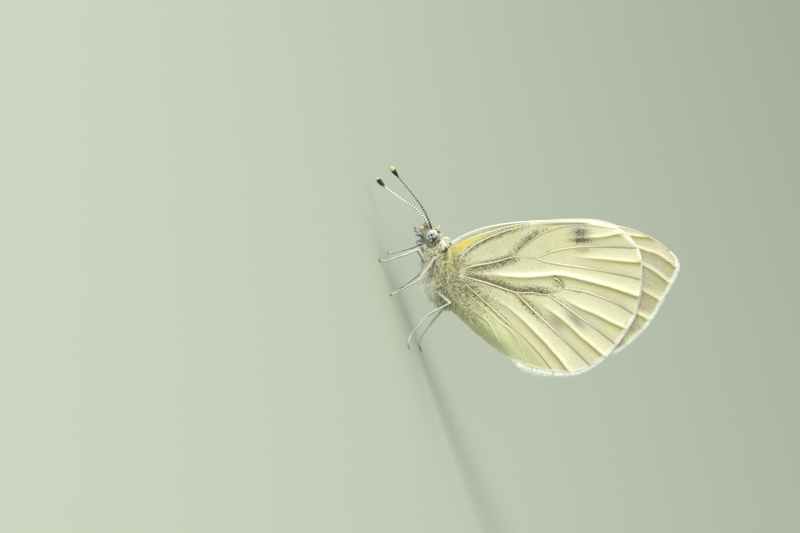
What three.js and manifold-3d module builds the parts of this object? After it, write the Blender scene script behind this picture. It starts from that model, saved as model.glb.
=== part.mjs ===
// Green-veined white butterfly, life size, at rest with its wings closed over its back.
//
// Millimetres. +Z is up, the head points along -X, the insect's left side faces -Y.
// The origin lies on the floor, under the middle of the whole insect.
import * as THREE from 'three';
import { mergeVertices } from 'three/addons/utils/BufferGeometryUtils.js';
import Module from 'manifold-3d';

const wasm = await Module();
wasm.setup();

// ---- driving dimensions ---------------------------------------------------------------
const SEAM = 0.1; // air left between two parts that touch on the living insect
const WING_THICKNESS = 0.5;
const LIMB_THICKNESS = 0.5;

const THORAX = { front: [-4.7, 5.85], rear: [2.3, 5.05], halfHeight: 2.4, halfWidth: 1.9 };
const ABDOMEN = { front: [1.2, 5.65], rear: [8.95, 9.95], radius: 1.25 };
const HEAD = { centre: [-5.2, 0, 5.6], semiAxes: [1.1, 1.0, 1.15] };
const EYE = { centre: [-4.98, 0.84, 5.68], semiAxes: [0.78, 0.56, 0.7] };
const PROBOSCIS = { centre: [-4.7, 0, 3.95], radius: 0.42, width: 0.5 };

const FORE_STACK = 0.33; // a forewing's distance from the plane of symmetry, far from the body
const HIND_STACK = 0.64; // how much farther out its hindwing lies
const ROOT_SPREAD = 1.25; // how far the thorax pushes the wing roots apart
const ROOT_CENTRE = [-1.2, 5.6];
const ROOT_REACH = [4.2, 2.4]; // along X and Z
const ABDOMEN_CLEARANCE = 0.42; // from the abdomen to the middle of a hindwing

const WING_STEPS = [25, 9]; // from root to apex, and across
const HEAD_FACETS = [18, 12]; // around, and from pole to pole
const EYE_FACETS = [14, 9];

// Edges of the wings, seen from the side, as [x, z] from the root to the apex.
const FOREWING_COSTA = [
  [-3.9, 7.45], [-4.25, 10.6], [-3.55, 15.05], [-2.0, 20.35], [0.35, 25.2], [2.3, 27.75], [4.3, 29.4], [6.0, 29.9],
];
const FOREWING_REAR = [
  [-0.4, 7.05], [5.4, 12.8], [11.2, 18.25], [12.75, 19.9], [12.45, 21.8], [11.1, 24.6], [8.75, 27.6], [7.0, 29.4],
  [6.0, 29.9],
];
const HINDWING_COSTA = [
  [-3.2, 7.05], [-3.5, 10.1], [-3.3, 14.3], [-2.55, 18.15], [-1.25, 22.2], [0.15, 24.4], [1.8, 25.6], [3.5, 26.15],
];
const HINDWING_REAR = [
  [2.5, 4.95], [6.2, 7.05], [9.0, 8.75], [11.3, 10.7], [13.1, 13.4], [13.65, 16.15], [12.8, 19.25], [10.0, 23.3],
  [6.8, 25.5], [3.5, 26.15],
];

// Middle lines of the legs, from the thorax to the claws. The left ones have negative y.
const FOOT_HEIGHT = 0.17; // of a foot's middle line, so that the floor leaves a narrow flat
const LEG_PATHS = {
  leg_front_left: [
    [-2.2, -0.9, 4.1], [-4.1, -1.8, 3.95], [-4.0, -2.6, 2.3], [-4.0, -3.0, 0.5], [-4.2, -3.6, 0], [-4.3, -4.2, 0],
  ],
  leg_front_right: [
    [-2.2, 0.9, 4.2], [-4.5, 1.8, 3.9], [-4.5, 2.6, 2.6], [-4.6, 3.0, 0.5], [-4.8, 3.6, 0], [-4.95, 4.2, 0],
  ],
  leg_middle_left: [
    [-0.5, -1.2, 3.8], [-2.75, -2.8, 5.6], [-1.0, -3.2, 3.2], [-0.55, -3.4, 0.6], [-0.5, -3.9, 0], [-0.45, -4.5, 0],
  ],
  leg_middle_right: [
    [-0.5, 1.2, 3.8], [-2.9, 2.8, 4.7], [-1.5, 3.3, 2.4], [-0.9, 3.4, 0.6], [-0.8, 3.9, 0], [-0.75, 4.5, 0],
  ],
  leg_hind_left: [
    [0.6, -1.2, 3.9], [2.3, -3.1, 5.6], [2.75, -3.2, 3.0], [4.1, -3.3, 0.7], [4.8, -3.5, 0], [5.4, -3.7, 0],
  ],
  leg_hind_right: [
    [0.6, 1.2, 3.9], [2.1, 3.1, 4.9], [3.6, 3.3, 2.3], [4.7, 3.5, 0.75], [5.5, 3.8, 0], [6.1, 4.1, 0],
  ],
};
const ANTENNA_PATHS = {
  antenna_left: [
    [-5.7, -0.45, 6.2], [-7.84, -1.7, 5.9], [-9.9, -3.1, 5.6], [-11.9, -4.5, 4.9], [-13.0, -5.3, 4.65],
  ],
  antenna_right: [
    [-5.8, 0.45, 6.1], [-7.86, 1.8, 4.8], [-9.6, 3.1, 3.4], [-11.4, 4.4, 1.95], [-12.7, 5.3, 1.2],
  ],
};
const PALP_PATH = [[-5.25, 0.4, 4.4], [-5.9, 0.44, 4.2], [-6.5, 0.46, 4.18], [-6.95, 0.46, 4.3]];

// ---- finishes --------------------------------------------------------------------------
const FUR = { color: 0xd9d8c4, roughness: 0.95, metalness: 0 };
const WING_SCALES = { color: 0xdcdba9, roughness: 0.85, metalness: 0 };
const LEG_SCALES = { color: 0xb9bcae, roughness: 0.8, metalness: 0 };
const ANTENNA_SCALES = { color: 0x4a4a3c, roughness: 0.7, metalness: 0 };
const EYE_CUTICLE = { color: 0xb9c8c0, roughness: 0.35, metalness: 0 };
const PROBOSCIS_CUTICLE = { color: 0x3a2c24, roughness: 0.5, metalness: 0 };

// ---- closed solids ---------------------------------------------------------------------
// Gives back a geometry with shared corners merged and flat triangles dropped.
function closedGeometry(source) {
  const bare = new THREE.BufferGeometry();
  bare.setAttribute('position', source.getAttribute('position'));
  const count = source.getAttribute('position').count;
  bare.setIndex(source.index ? Array.from(source.index.array) : Array.from({ length: count }, (_, n) => n));
  const merged = mergeVertices(bare, 1e-4);
  const kept = [];
  const index = merged.index.array;
  for (let n = 0; n < index.length; n += 3) {
    const [a, b, c] = [index[n], index[n + 1], index[n + 2]];
    if (a !== b && b !== c && c !== a) kept.push(a, b, c);
  }
  merged.setIndex(kept);
  return merged;
}

function solidOf(source) {
  const geometry = closedGeometry(source);
  const vertProperties = new Float32Array(geometry.getAttribute('position').array);
  const triVerts = new Uint32Array(geometry.index.array);
  return new wasm.Manifold(new wasm.Mesh({ numProp: 3, vertProperties, triVerts }));
}

function geometryOf(solid) {
  const mesh = solid.getMesh();
  const geometry = new THREE.BufferGeometry();
  geometry.setAttribute('position', new THREE.BufferAttribute(mesh.vertProperties, 3));
  geometry.setIndex(new THREE.BufferAttribute(mesh.triVerts, 1));
  return geometry;
}

const group = new THREE.Group();

function addPart(name, solid, finish) {
  const mesh = new THREE.Mesh(geometryOf(solid), new THREE.MeshStandardMaterial(finish));
  mesh.name = name;
  group.add(mesh);
}

// ---- head, thorax and abdomen ----------------------------------------------------------
function ellipsoid({ centre, semiAxes }, side, grow, [around, along]) {
  const geometry = new THREE.SphereGeometry(1, around, along);
  geometry.scale(semiAxes[0] + grow, semiAxes[1] + grow, semiAxes[2] + grow);
  geometry.translate(centre[0], side * centre[1], centre[2]);
  return solidOf(geometry);
}

// A body of revolution along a line in the plane of symmetry, then made narrower or wider.
// radiusAt gives the radius for the share of the length from 0 at the front to 1 at the rear.
function spindle({ front, rear }, radiusAt, width, [around, along]) {
  const [lengthX, lengthZ] = [rear[0] - front[0], rear[1] - front[1]];
  const length = Math.hypot(lengthX, lengthZ);
  const profile = [];
  for (let n = 0; n <= along; n += 1) {
    const share = 0.5 - 0.5 * Math.cos((Math.PI * n) / along);
    const radius = n === 0 || n === along ? 0 : radiusAt(share);
    profile.push(new THREE.Vector2(radius, share * length));
  }
  const geometry = new THREE.LatheGeometry(profile, around);
  geometry.rotateZ(-Math.PI / 2);
  geometry.scale(1, width, 1);
  geometry.rotateY(-Math.atan2(lengthZ, lengthX));
  geometry.translate(front[0], 0, front[1]);
  return solidOf(geometry);
}

function lengthened({ front, rear }, grow) {
  const length = Math.hypot(rear[0] - front[0], rear[1] - front[1]);
  const step = [(grow * (rear[0] - front[0])) / length, (grow * (rear[1] - front[1])) / length];
  return { front: [front[0] - step[0], front[1] - step[1]], rear: [rear[0] + step[0], rear[1] + step[1]] };
}

// The thorax is fullest a little behind its middle and blunt at both ends.
function thoraxSolid(grow) {
  const radiusAt = (share) => (THORAX.halfHeight + grow) * Math.sin(Math.PI * share ** 1.15) ** 0.4;
  const width = (THORAX.halfWidth + grow) / (THORAX.halfHeight + grow);
  return spindle(lengthened(THORAX, grow), radiusAt, width, [20, 13]);
}

// The abdomen swells over its first third and tapers to a blunt tip.
function abdomenRadius(share) {
  const swelling = Math.sin(Math.PI * share ** 0.75) ** 0.55;
  return ABDOMEN.radius * swelling * (1 - 0.12 * share);
}

function abdomenSolid(grow) {
  return spindle(lengthened(ABDOMEN, grow), (share) => abdomenRadius(share) + grow, 1, [16, 12]);
}

// ---- limbs: legs, antennae and palps ---------------------------------------------------
// A round rod along a smooth curve, whose radius changes from root to tip. Both ends are
// closed by a fan of triangles.
function limb(points, radiusAt, steps, sides) {
  const curve = new THREE.CatmullRomCurve3(points.map((p) => new THREE.Vector3(...p)), false, 'centripetal');
  const frames = curve.computeFrenetFrames(steps, false);
  const positions = [];
  for (let n = 0; n <= steps; n += 1) {
    const middle = curve.getPointAt(n / steps);
    const radius = radiusAt(n / steps);
    for (let side = 0; side < sides; side += 1) {
      const angle = (2 * Math.PI * side) / sides;
      const corner = middle.clone();
      corner.addScaledVector(frames.normals[n], radius * Math.cos(angle));
      corner.addScaledVector(frames.binormals[n], radius * Math.sin(angle));
      positions.push(corner.x, corner.y, corner.z);
    }
  }
  const root = curve.getPointAt(0).addScaledVector(frames.tangents[0], -0.5 * radiusAt(0));
  const tip = curve.getPointAt(1).addScaledVector(frames.tangents[steps], 0.6 * radiusAt(1));
  const rootIndex = positions.length / 3;
  positions.push(root.x, root.y, root.z, tip.x, tip.y, tip.z);
  const triangles = [];
  for (let side = 0; side < sides; side += 1) {
    const next = (side + 1) % sides;
    triangles.push(rootIndex, next, side);
    triangles.push(rootIndex + 1, steps * sides + side, steps * sides + next);
    for (let n = 0; n < steps; n += 1) {
      const [a, b] = [n * sides + side, n * sides + next];
      triangles.push(a, b, b + sides, a, b + sides, a + sides);
    }
  }
  const geometry = new THREE.BufferGeometry();
  geometry.setAttribute('position', new THREE.Float32BufferAttribute(positions, 3));
  geometry.setIndex(triangles);
  return solidOf(geometry);
}

// Thick thigh, thinner shin, and an even foot.
function legRadius(share) {
  const thigh = 0.1 * Math.exp(-(((share - 0.16) / 0.13) ** 2));
  return LIMB_THICKNESS / 2 + thigh;
}

// An even feeler that swells into a club over its last seventh.
function antennaRadius(share) {
  const club = 0.1 * Math.exp(-(((share - 0.95) / 0.07) ** 2));
  return LIMB_THICKNESS / 2 + club;
}

function palpRadius(share) {
  return 0.34 - 0.14 * share ** 2;
}

// ---- wings -----------------------------------------------------------------------------
// How far a left wing's middle lies from the plane of symmetry at a place seen from the side.
// Both pairs bow out round the thorax, and come together a few millimetres above it.
function foreOffset(x, z) {
  const distance = ((x - ROOT_CENTRE[0]) / ROOT_REACH[0]) ** 2 + ((z - ROOT_CENTRE[1]) / ROOT_REACH[1]) ** 2;
  return FORE_STACK + ROOT_SPREAD * Math.exp(-0.55 * distance);
}

// A hindwing lies outside its forewing, and its lower edge curls in round the abdomen.
function hindOffset(x, z) {
  const [lengthX, lengthZ] = [ABDOMEN.rear[0] - ABDOMEN.front[0], ABDOMEN.rear[1] - ABDOMEN.front[1]];
  const length = Math.hypot(lengthX, lengthZ);
  const along = ((x - ABDOMEN.front[0]) * lengthX + (z - ABDOMEN.front[1]) * lengthZ) / length;
  const above = ((z - ABDOMEN.front[1]) * lengthX - (x - ABDOMEN.front[0]) * lengthZ) / length;
  const share = THREE.MathUtils.clamp(along / length, 0.001, 0.999);
  const reach = abdomenRadius(share) + ABDOMEN_CLEARANCE;
  const beside = Math.sqrt(Math.max(0, reach ** 2 - above ** 2));
  const outer = foreOffset(x, z) + HIND_STACK;
  const offset = 0.5 * (outer + beside + Math.sqrt((outer - beside) ** 2 + 0.15));
  const curl = THREE.MathUtils.smoothstep(-above, 0, 2.2) * (1 - THREE.MathUtils.smoothstep(along, length - 1, length + 2));
  return offset * (1 - 0.55 * curl);
}

function edgeCurve(points) {
  return new THREE.CatmullRomCurve3(points.map(([x, z]) => new THREE.Vector3(x, 0, z)), false, 'centripetal');
}

// A sheet of even thickness between two edges that leave the root apart and meet at the apex.
function wing(costa, rear, side, offsetAt) {
  const [steps, across] = WING_STEPS;
  const [frontEdge, rearEdge] = [edgeCurve(costa), edgeCurve(rear)];
  const positions = [];
  for (const face of [-0.5, 0.5]) {
    for (let n = 0; n <= steps; n += 1) {
      const share = n / steps;
      const [start, end] = [frontEdge.getPointAt(share), rearEdge.getPointAt(share)];
      for (let m = 0; m <= across; m += 1) {
        const place = start.clone().lerp(end, m / across);
        positions.push(place.x, side * offsetAt(place.x, place.z) + face * WING_THICKNESS, place.z);
      }
    }
  }
  const row = across + 1;
  const sheet = (steps + 1) * row;
  const triangles = [];
  const quad = (a, b, c, d) => triangles.push(a, b, c, a, c, d);
  for (let n = 0; n < steps; n += 1) {
    for (let m = 0; m < across; m += 1) {
      const corner = n * row + m;
      quad(corner, corner + 1, corner + row + 1, corner + row);
      quad(sheet + corner, sheet + corner + row, sheet + corner + row + 1, sheet + corner + 1);
    }
    const [first, last] = [n * row, n * row + across];
    quad(first, first + row, sheet + first + row, sheet + first);
    quad(last, sheet + last, sheet + last + row, last + row);
  }
  for (let m = 0; m < across; m += 1) {
    quad(m, sheet + m, sheet + m + 1, m + 1);
  }
  const geometry = new THREE.BufferGeometry();
  geometry.setAttribute('position', new THREE.Float32BufferAttribute(positions, 3));
  geometry.setIndex(triangles);
  return solidOf(geometry);
}

// ---- assembly --------------------------------------------------------------------------
const sides = { left: -1, right: 1 };

const eyes = {};
let headSolid = ellipsoid(HEAD, 1, 0, HEAD_FACETS);
for (const [name, side] of Object.entries(sides)) {
  eyes[name] = ellipsoid(EYE, side, 0, EYE_FACETS);
  headSolid = headSolid.subtract(ellipsoid(EYE, side, SEAM / 2, EYE_FACETS));
}
const headRoom = ellipsoid(HEAD, 1, SEAM, HEAD_FACETS);
const eyeRoom = ellipsoid(EYE, -1, SEAM, EYE_FACETS).add(ellipsoid(EYE, 1, SEAM, EYE_FACETS));
const faceRoom = headRoom.add(eyeRoom);
const thoraxRoom = thoraxSolid(SEAM);
const bodyRoom = thoraxRoom.add(abdomenSolid(SEAM));

addPart('head', headSolid, FUR);
addPart('thorax', thoraxSolid(0).subtract(faceRoom), FUR);
addPart('abdomen', abdomenSolid(0).subtract(thoraxRoom), FUR);

const coil = new THREE.CylinderGeometry(PROBOSCIS.radius, PROBOSCIS.radius, PROBOSCIS.width, 20);
coil.translate(...PROBOSCIS.centre);
addPart('proboscis', solidOf(coil).subtract(faceRoom).subtract(thoraxRoom), PROBOSCIS_CUTICLE);

for (const [name, side] of Object.entries(sides)) {
  addPart(`eye_${name}`, eyes[name], EYE_CUTICLE);
  const palpPoints = PALP_PATH.map(([x, y, z]) => [x, side * y, z]);
  addPart(`palp_${name}`, limb(palpPoints, palpRadius, 10, 8).subtract(faceRoom), FUR);
  const forewing = wing(FOREWING_COSTA, FOREWING_REAR, side, foreOffset);
  addPart(`forewing_${name}`, forewing.subtract(bodyRoom), WING_SCALES);
  const hindwing = wing(HINDWING_COSTA, HINDWING_REAR, side, hindOffset);
  addPart(`hindwing_${name}`, hindwing.subtract(bodyRoom), WING_SCALES);
}

for (const [name, path] of Object.entries(ANTENNA_PATHS)) {
  addPart(name, limb(path, antennaRadius, 20, 6).subtract(faceRoom), ANTENNA_SCALES);
}

const underFloor = new THREE.BoxGeometry(40, 40, 2);
underFloor.translate(0, 0, -1);
const floorRoom = solidOf(underFloor);
for (const [name, path] of Object.entries(LEG_PATHS)) {
  const raised = path.map(([x, y, z]) => [x, y, Math.max(z, FOOT_HEIGHT)]);
  addPart(name, limb(raised, legRadius, 24, 6).subtract(thoraxRoom).subtract(floorRoom), LEG_SCALES);
}

export default group;
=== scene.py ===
"""A green-veined white butterfly at rest, its wings closed over its back.

Every size and place in this file is in millimetres in the part's own frame, and becomes metres
when a mesh is made: +Z up, the head towards -X, the left side towards -Y.
"""
import math

import bpy
import numpy as np
from mathutils import Matrix


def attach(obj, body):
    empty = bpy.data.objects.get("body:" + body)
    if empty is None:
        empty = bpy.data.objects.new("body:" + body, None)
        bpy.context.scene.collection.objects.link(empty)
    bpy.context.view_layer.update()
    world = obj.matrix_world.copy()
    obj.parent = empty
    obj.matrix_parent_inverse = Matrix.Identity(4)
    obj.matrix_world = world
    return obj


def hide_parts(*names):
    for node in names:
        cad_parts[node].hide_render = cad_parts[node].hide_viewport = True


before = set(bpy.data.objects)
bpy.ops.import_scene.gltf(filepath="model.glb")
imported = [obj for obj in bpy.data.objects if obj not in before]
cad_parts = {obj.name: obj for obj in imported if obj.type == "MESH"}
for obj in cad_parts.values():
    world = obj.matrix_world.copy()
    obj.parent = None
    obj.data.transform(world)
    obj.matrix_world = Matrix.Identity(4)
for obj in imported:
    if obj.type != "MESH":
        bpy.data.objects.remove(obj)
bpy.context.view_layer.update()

# ---- Studio ----------------------------------------------------------------------------------
# A plain pale bowl of card, flat in the middle and curved up all round, so that no edge shows.
# Soft lamps stand round it and over it. The camera is rolled, as the living insect hung head up.
MM = 0.001


def grid_faces(rows, columns, closed=False):
    """Four-sided faces between the points of a grid, row by row: a point, the next in its row, and
    the same two of the next row. closed joins the last column to the first."""
    wide = columns if closed else columns - 1
    row, column = np.meshgrid(np.arange(rows - 1), np.arange(wide), indexing="ij")
    low, high, after = row * columns, (row + 1) * columns, (column + 1) % columns
    return np.stack([low + column, low + after, high + after, high + column], axis=-1).reshape(-1, 4)


def make_mesh(name, points, faces, finish, fields=None, places=None, smooth=True):
    """Makes an object of points in millimetres and blocks of faces, with one finish.

    fields are numbers kept on the points, and places puts each corner of each face on the map OFBake.
    """
    mesh = bpy.data.meshes.new(name)
    corners = np.concatenate([block.ravel() for block in faces])
    sizes = np.concatenate([np.full(len(block), block.shape[1]) for block in faces])
    mesh.vertices.add(len(points))
    mesh.vertices.foreach_set("co", (np.asarray(points) * MM).astype(np.float32).ravel())
    mesh.loops.add(len(corners))
    mesh.loops.foreach_set("vertex_index", corners.astype(np.int32))
    mesh.polygons.add(len(sizes))
    mesh.polygons.foreach_set("loop_start", np.concatenate([[0], np.cumsum(sizes)[:-1]]).astype(np.int32))
    mesh.update(calc_edges=True)
    mesh.polygons.foreach_set("use_smooth", np.full(len(sizes), smooth))
    for label, values in (fields or {}).items():
        kept = mesh.attributes.new(label, "FLOAT", "POINT")
        kept.data.foreach_set("value", np.asarray(values, dtype=np.float32))
    if places is not None:
        layer = mesh.uv_layers.new(name="OFBake")
        layer.data.foreach_set("uv", np.asarray(places, dtype=np.float32).ravel())
    mesh.materials.append(finish)
    made = bpy.data.objects.new(name, mesh)
    bpy.context.scene.collection.objects.link(made)
    return made


def new_finish(name, roughness):
    """A material with one Principled shader. Gives back the material, its nodes, a function that
    joins one node's output to another's input, and the shader."""
    finish = bpy.data.materials.new(name)
    finish.use_nodes = True
    shader = finish.node_tree.nodes["Principled BSDF"]
    shader.inputs["Roughness"].default_value = roughness
    return finish, finish.node_tree.nodes, finish.node_tree.links.new, shader


def colour(red, green, blue):
    """A colour given as seen, 0 to 255, turned into the linear light that shaders use."""
    seen = np.array([red, green, blue]) / 255
    linear = np.where(seen <= 0.04045, seen / 12.92, ((seen + 0.055) / 1.055) ** 2.4)
    return (*linear.tolist(), 1.0)


BOWL_FLAT, BOWL_BEND, BOWL_HEIGHT, BOWL_SIDES = 1100.0, 900.0, 1000.0, 96
turn = np.linspace(0, math.pi / 2, 25)
reach = np.concatenate([[0.0, 200.0, 500.0], BOWL_FLAT + BOWL_BEND * np.sin(turn), [BOWL_FLAT + BOWL_BEND]])
rise = np.concatenate([[0.0, 0.0, 0.0], BOWL_BEND * (1 - np.cos(turn)), [BOWL_HEIGHT]])
reach, rise = reach[1:, None], rise[1:, None]
around = np.linspace(0, 2 * math.pi, BOWL_SIDES, endpoint=False)
bowl_points = np.stack([reach * np.cos(around), reach * np.sin(around), rise + 0 * around], axis=-1)
bowl_points = bowl_points.reshape(-1, 3)
ring = np.arange(BOWL_SIDES)
bowl_floor = np.stack([np.full(BOWL_SIDES, len(bowl_points)), ring, (ring + 1) % BOWL_SIDES], axis=-1)
card, nodes, link, shader = new_finish("pale_card", 0.95)
shader.inputs["Base Color"].default_value = colour(176, 183, 165)
shader.inputs["Specular IOR Level"].default_value = 0.1
bowl = make_mesh(
    "studio_bowl",
    np.vstack([bowl_points, [[0.0, 0.0, 0.0]]]),
    [grid_faces(len(reach), BOWL_SIDES, closed=True)[:, ::-1], bowl_floor],
    card,
)

world = bpy.data.worlds.new("studio_air")
world.use_nodes = True
air = world.node_tree.nodes["Background"]
air.inputs["Color"].default_value = (0.95, 0.98, 1.0, 1.0)
air.inputs["Strength"].default_value = 0.62
bpy.context.scene.world = world


LAMP_TARGET = np.array([2.0, 0.0, 14.0])


def standing(side, above, back, place):
    """The matrix of a lamp or camera: the three directions it stands by, and its place."""
    return Matrix([[side[n], above[n], back[n], place[n] * MM] for n in range(3)] + [[0, 0, 0, 1]])


def soft_lamp(name, place, width, power, tint):
    """A square lamp at a place, turned towards the middle of the insect."""
    lamp = bpy.data.lights.new(name, "AREA")
    lamp.shape = "SQUARE"
    lamp.size = width * MM
    lamp.energy = power
    lamp.color = tint
    holder = bpy.data.objects.new(name, lamp)
    back = np.array(place) - LAMP_TARGET
    back /= np.linalg.norm(back)
    side = np.cross([0.0, 1.0, 0.0], back)
    side /= np.linalg.norm(side)
    holder.matrix_world = standing(side, np.cross(back, side), back, place)
    bpy.context.scene.collection.objects.link(holder)


soft_lamp("key_lamp", (-460.0, -280.0, 360.0), 380.0, 2.3, (1.0, 0.99, 0.97))
soft_lamp("fill_lamp", (60.0, -620.0, 300.0), 420.0, 0.9, (1.0, 0.985, 0.97))
soft_lamp("low_lamp", (-560.0, -330.0, 110.0), 190.0, 0.9, (1.0, 1.0, 0.98))
soft_lamp("top_lamp", (-40.0, 60.0, 1500.0), 1800.0, 10.6, (1.0, 1.0, 0.985))

VIEW_ELEVATION = math.radians(8.0)
VIEW_ROLL = math.radians(71.6)
VIEW_TARGET = np.array([-2.99, 0.0, 1.35])
VIEW_DISTANCE = 800.0
VIEW_WIDTH = 84.2
SENSOR_WIDTH = 36.0
ahead = np.array([0.0, math.cos(VIEW_ELEVATION), -math.sin(VIEW_ELEVATION)])
level = np.array([1.0, 0.0, 0.0])
upright = np.array([0.0, math.sin(VIEW_ELEVATION), math.cos(VIEW_ELEVATION)])
rightward = math.cos(VIEW_ROLL) * level + math.sin(VIEW_ROLL) * upright
upward = -math.sin(VIEW_ROLL) * level + math.cos(VIEW_ROLL) * upright
lens = bpy.data.cameras.new("camera")
lens.sensor_width = SENSOR_WIDTH
lens.lens = SENSOR_WIDTH * VIEW_DISTANCE / VIEW_WIDTH
lens.clip_start = 0.01
lens.clip_end = 10.0
camera = bpy.data.objects.new("camera", lens)
camera.matrix_world = standing(rightward, upward, -ahead, VIEW_TARGET - VIEW_DISTANCE * ahead)
bpy.context.scene.collection.objects.link(camera)
bpy.context.scene.camera = camera
bpy.context.scene.view_settings.view_transform = "Standard"

# ---- Body skin -------------------------------------------------------------------------------
# The hard skin of head, thorax and abdomen, grown in one piece: a ball, a waist, a barrel and a
# ringed cigar, under the coat. It is a ring of changing size carried along a bent middle line.
SKIN_STATIONS = np.array([  # x, z, half height, half width
    (-6.05, 5.25, 0.34, 0.34), (-5.75, 5.28, 0.66, 0.62), (-5.20, 5.36, 0.80, 0.74),
        (-4.65, 5.48, 0.72, 0.62),
    (-4.25, 5.74, 0.84, 0.62), (-3.80, 5.88, 1.30, 0.98), (-2.90, 5.72, 1.70, 1.30),
        (-1.40, 5.45, 1.85, 1.42),
    (0.10, 5.28, 1.80, 1.36), (1.30, 5.30, 1.45, 1.15), (2.20, 5.78, 1.05, 0.95), (3.20, 6.72, 1.05, 0.98),
    (4.60, 7.54, 1.10, 1.05), (6.20, 8.42, 1.03, 0.98), (7.60, 9.20, 0.78, 0.75), (8.45, 9.67, 0.48, 0.46),
    (8.78, 9.85, 0.20, 0.20),
])
SKIN_ROWS, SKIN_COLUMNS, SKIN_STEPS = 161, 56, 801
ABDOMEN_STARTS, ABDOMEN_RINGS = 0.60, 8
CAP_ROOM = 0.02  # of a tube's map, kept at each end for its cap


def through(knots, count):
    """A smooth curve through rows of numbers of any width: on each span the Catmull-Rom cubic of
    the four nearest rows, whose slope at a row is half the step between that row's neighbours."""
    knots = np.asarray(knots, dtype=float)
    ends = np.vstack([2 * knots[0] - knots[1], knots, 2 * knots[-1] - knots[-2]])
    place = np.linspace(0, len(knots) - 1, count)
    span = np.minimum(place.astype(int), len(knots) - 2)
    part = (place - span)[:, None]
    before, start, end, after = ends[span], ends[span + 1], ends[span + 2], ends[span + 3]
    slope_in, slope_out = (end - before) / 2, (after - start) / 2
    cubic = 2 * start - 2 * end + slope_in + slope_out
    square = 3 * end - 3 * start - 2 * slope_in - slope_out
    return start + part * (slope_in + part * (square + part * cubic))


def unit(vectors):
    """Each vector divided by its own length."""
    return vectors / np.maximum(np.linalg.norm(vectors, axis=-1, keepdims=True), 1e-12)


def smooth_step(values, low, high):
    """0 below low, 1 above high, and between them the easy S of 3 p² - 2 p³."""
    part = np.clip((values - low) / (high - low), 0, 1)
    return part * part * (3 - 2 * part)


def patch(x, z, middle, half, turned=0.0):
    """A soft oval seen from the side: e to the minus squared distance, measured in half lengths."""
    lean = math.radians(turned)
    along = ((x - middle[0]) * math.cos(lean) + (z - middle[1]) * math.sin(lean)) / half[0]
    across = ((z - middle[1]) * math.cos(lean) - (x - middle[0]) * math.sin(lean)) / half[1]
    return np.exp(-(along**2) - across**2)


skin_line = through(SKIN_STATIONS, SKIN_STEPS)
skin_shares = np.linspace(0, 1, SKIN_STEPS)
skin_tangents = unit(np.gradient(skin_line[:, :2], axis=0))


def skin_at(share, angle):
    """Places on the skin, their outward directions and the directions towards the tail.

    share runs from face to tail, and angle from the back (0) down the left side. A place is the
    line's point plus the half height times the cosine up and the half width times the sine across.
    """
    x, z, high, wide = (np.interp(share, skin_shares, skin_line[:, n]) for n in range(4))
    tail_x, tail_z = (np.interp(share, skin_shares, skin_tangents[:, n]) for n in range(2))
    past = np.clip((share - ABDOMEN_STARTS) / (1 - ABDOMEN_STARTS), 0, 1)
    groove = 1 - 0.035 * (past > 0) * np.abs(np.cos(math.pi * ABDOMEN_RINGS * past)) ** 8
    high, wide = high * groove, wide * groove
    up, across = np.cos(angle), -np.sin(angle)
    point = np.stack([x - tail_z * high * up, wide * across, z + tail_x * high * up], axis=-1)
    outward = unit(np.stack([-tail_z * up / high, across / wide, tail_x * up / high], axis=-1))
    return point, outward, np.stack([tail_x, 0 * x, tail_z], axis=-1)


def coat_marks(points):
    """The body's markings as numbers from 0 to 1, in soft patches."""
    x, z = points[:, 0], points[:, 2]
    marks = {
        "cream": 2.1 * patch(x, z, (-4.38, 7.02), (1.15, 0.66), 38)
        + 0.8 * patch(x, z, (-5.6, 5.9), (0.5, 0.3), 40)
        + 0.6 * patch(x, z, (-4.4, 6.1), (0.5, 0.16), -62),
        "rust": 0.4 * patch(x, z, (-6.0, 5.5), (0.4, 0.4))
        + 1.4 * patch(x, z, (-4.1, 6.0), (0.6, 0.13), -62)
        + 1.5 * patch(x, z, (-3.14, 6.74), (0.4, 0.16), -30)
        + 1.5 * patch(x, z, (-3.0, 6.42), (0.36, 0.15), 44)
        + 1.3 * patch(x, z, (-2.05, 6.3), (0.17, 0.12)),
        "gold": 0.85 * patch(x, z, (-1.35, 6.75), (0.9, 0.42), 10),
        "olive": 0.5 * patch(x, z, (1.2, 5.6), (2.2, 0.9)) + 0.35 * patch(x, z, (-1.8, 6.2), (1.3, 0.7)),
        "frost": smooth_step(4.9 - z, 0.0, 1.1) * smooth_step(2.4 - x, 0.0, 1.5)
        + smooth_step(-4.4 - x, 0.0, 0.4) * smooth_step(5.2 - z, 0.0, 0.6),
    }
    return {label: np.clip(values, 0, 1) for label, values in marks.items()}


def tube_places(rows, columns):
    """Where each corner of a closed tube's faces lies on a unit square: the share round and along."""
    row, column = np.meshgrid(np.arange(rows - 1), np.arange(columns), indexing="ij")
    row, column = row.ravel(), column.ravel()
    corners = [(column, row), (column + 1, row), (column + 1, row + 1), (column, row + 1)]
    return np.stack([np.stack([a / columns, b / (rows - 1)], axis=-1) for a, b in corners], axis=1)


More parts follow.
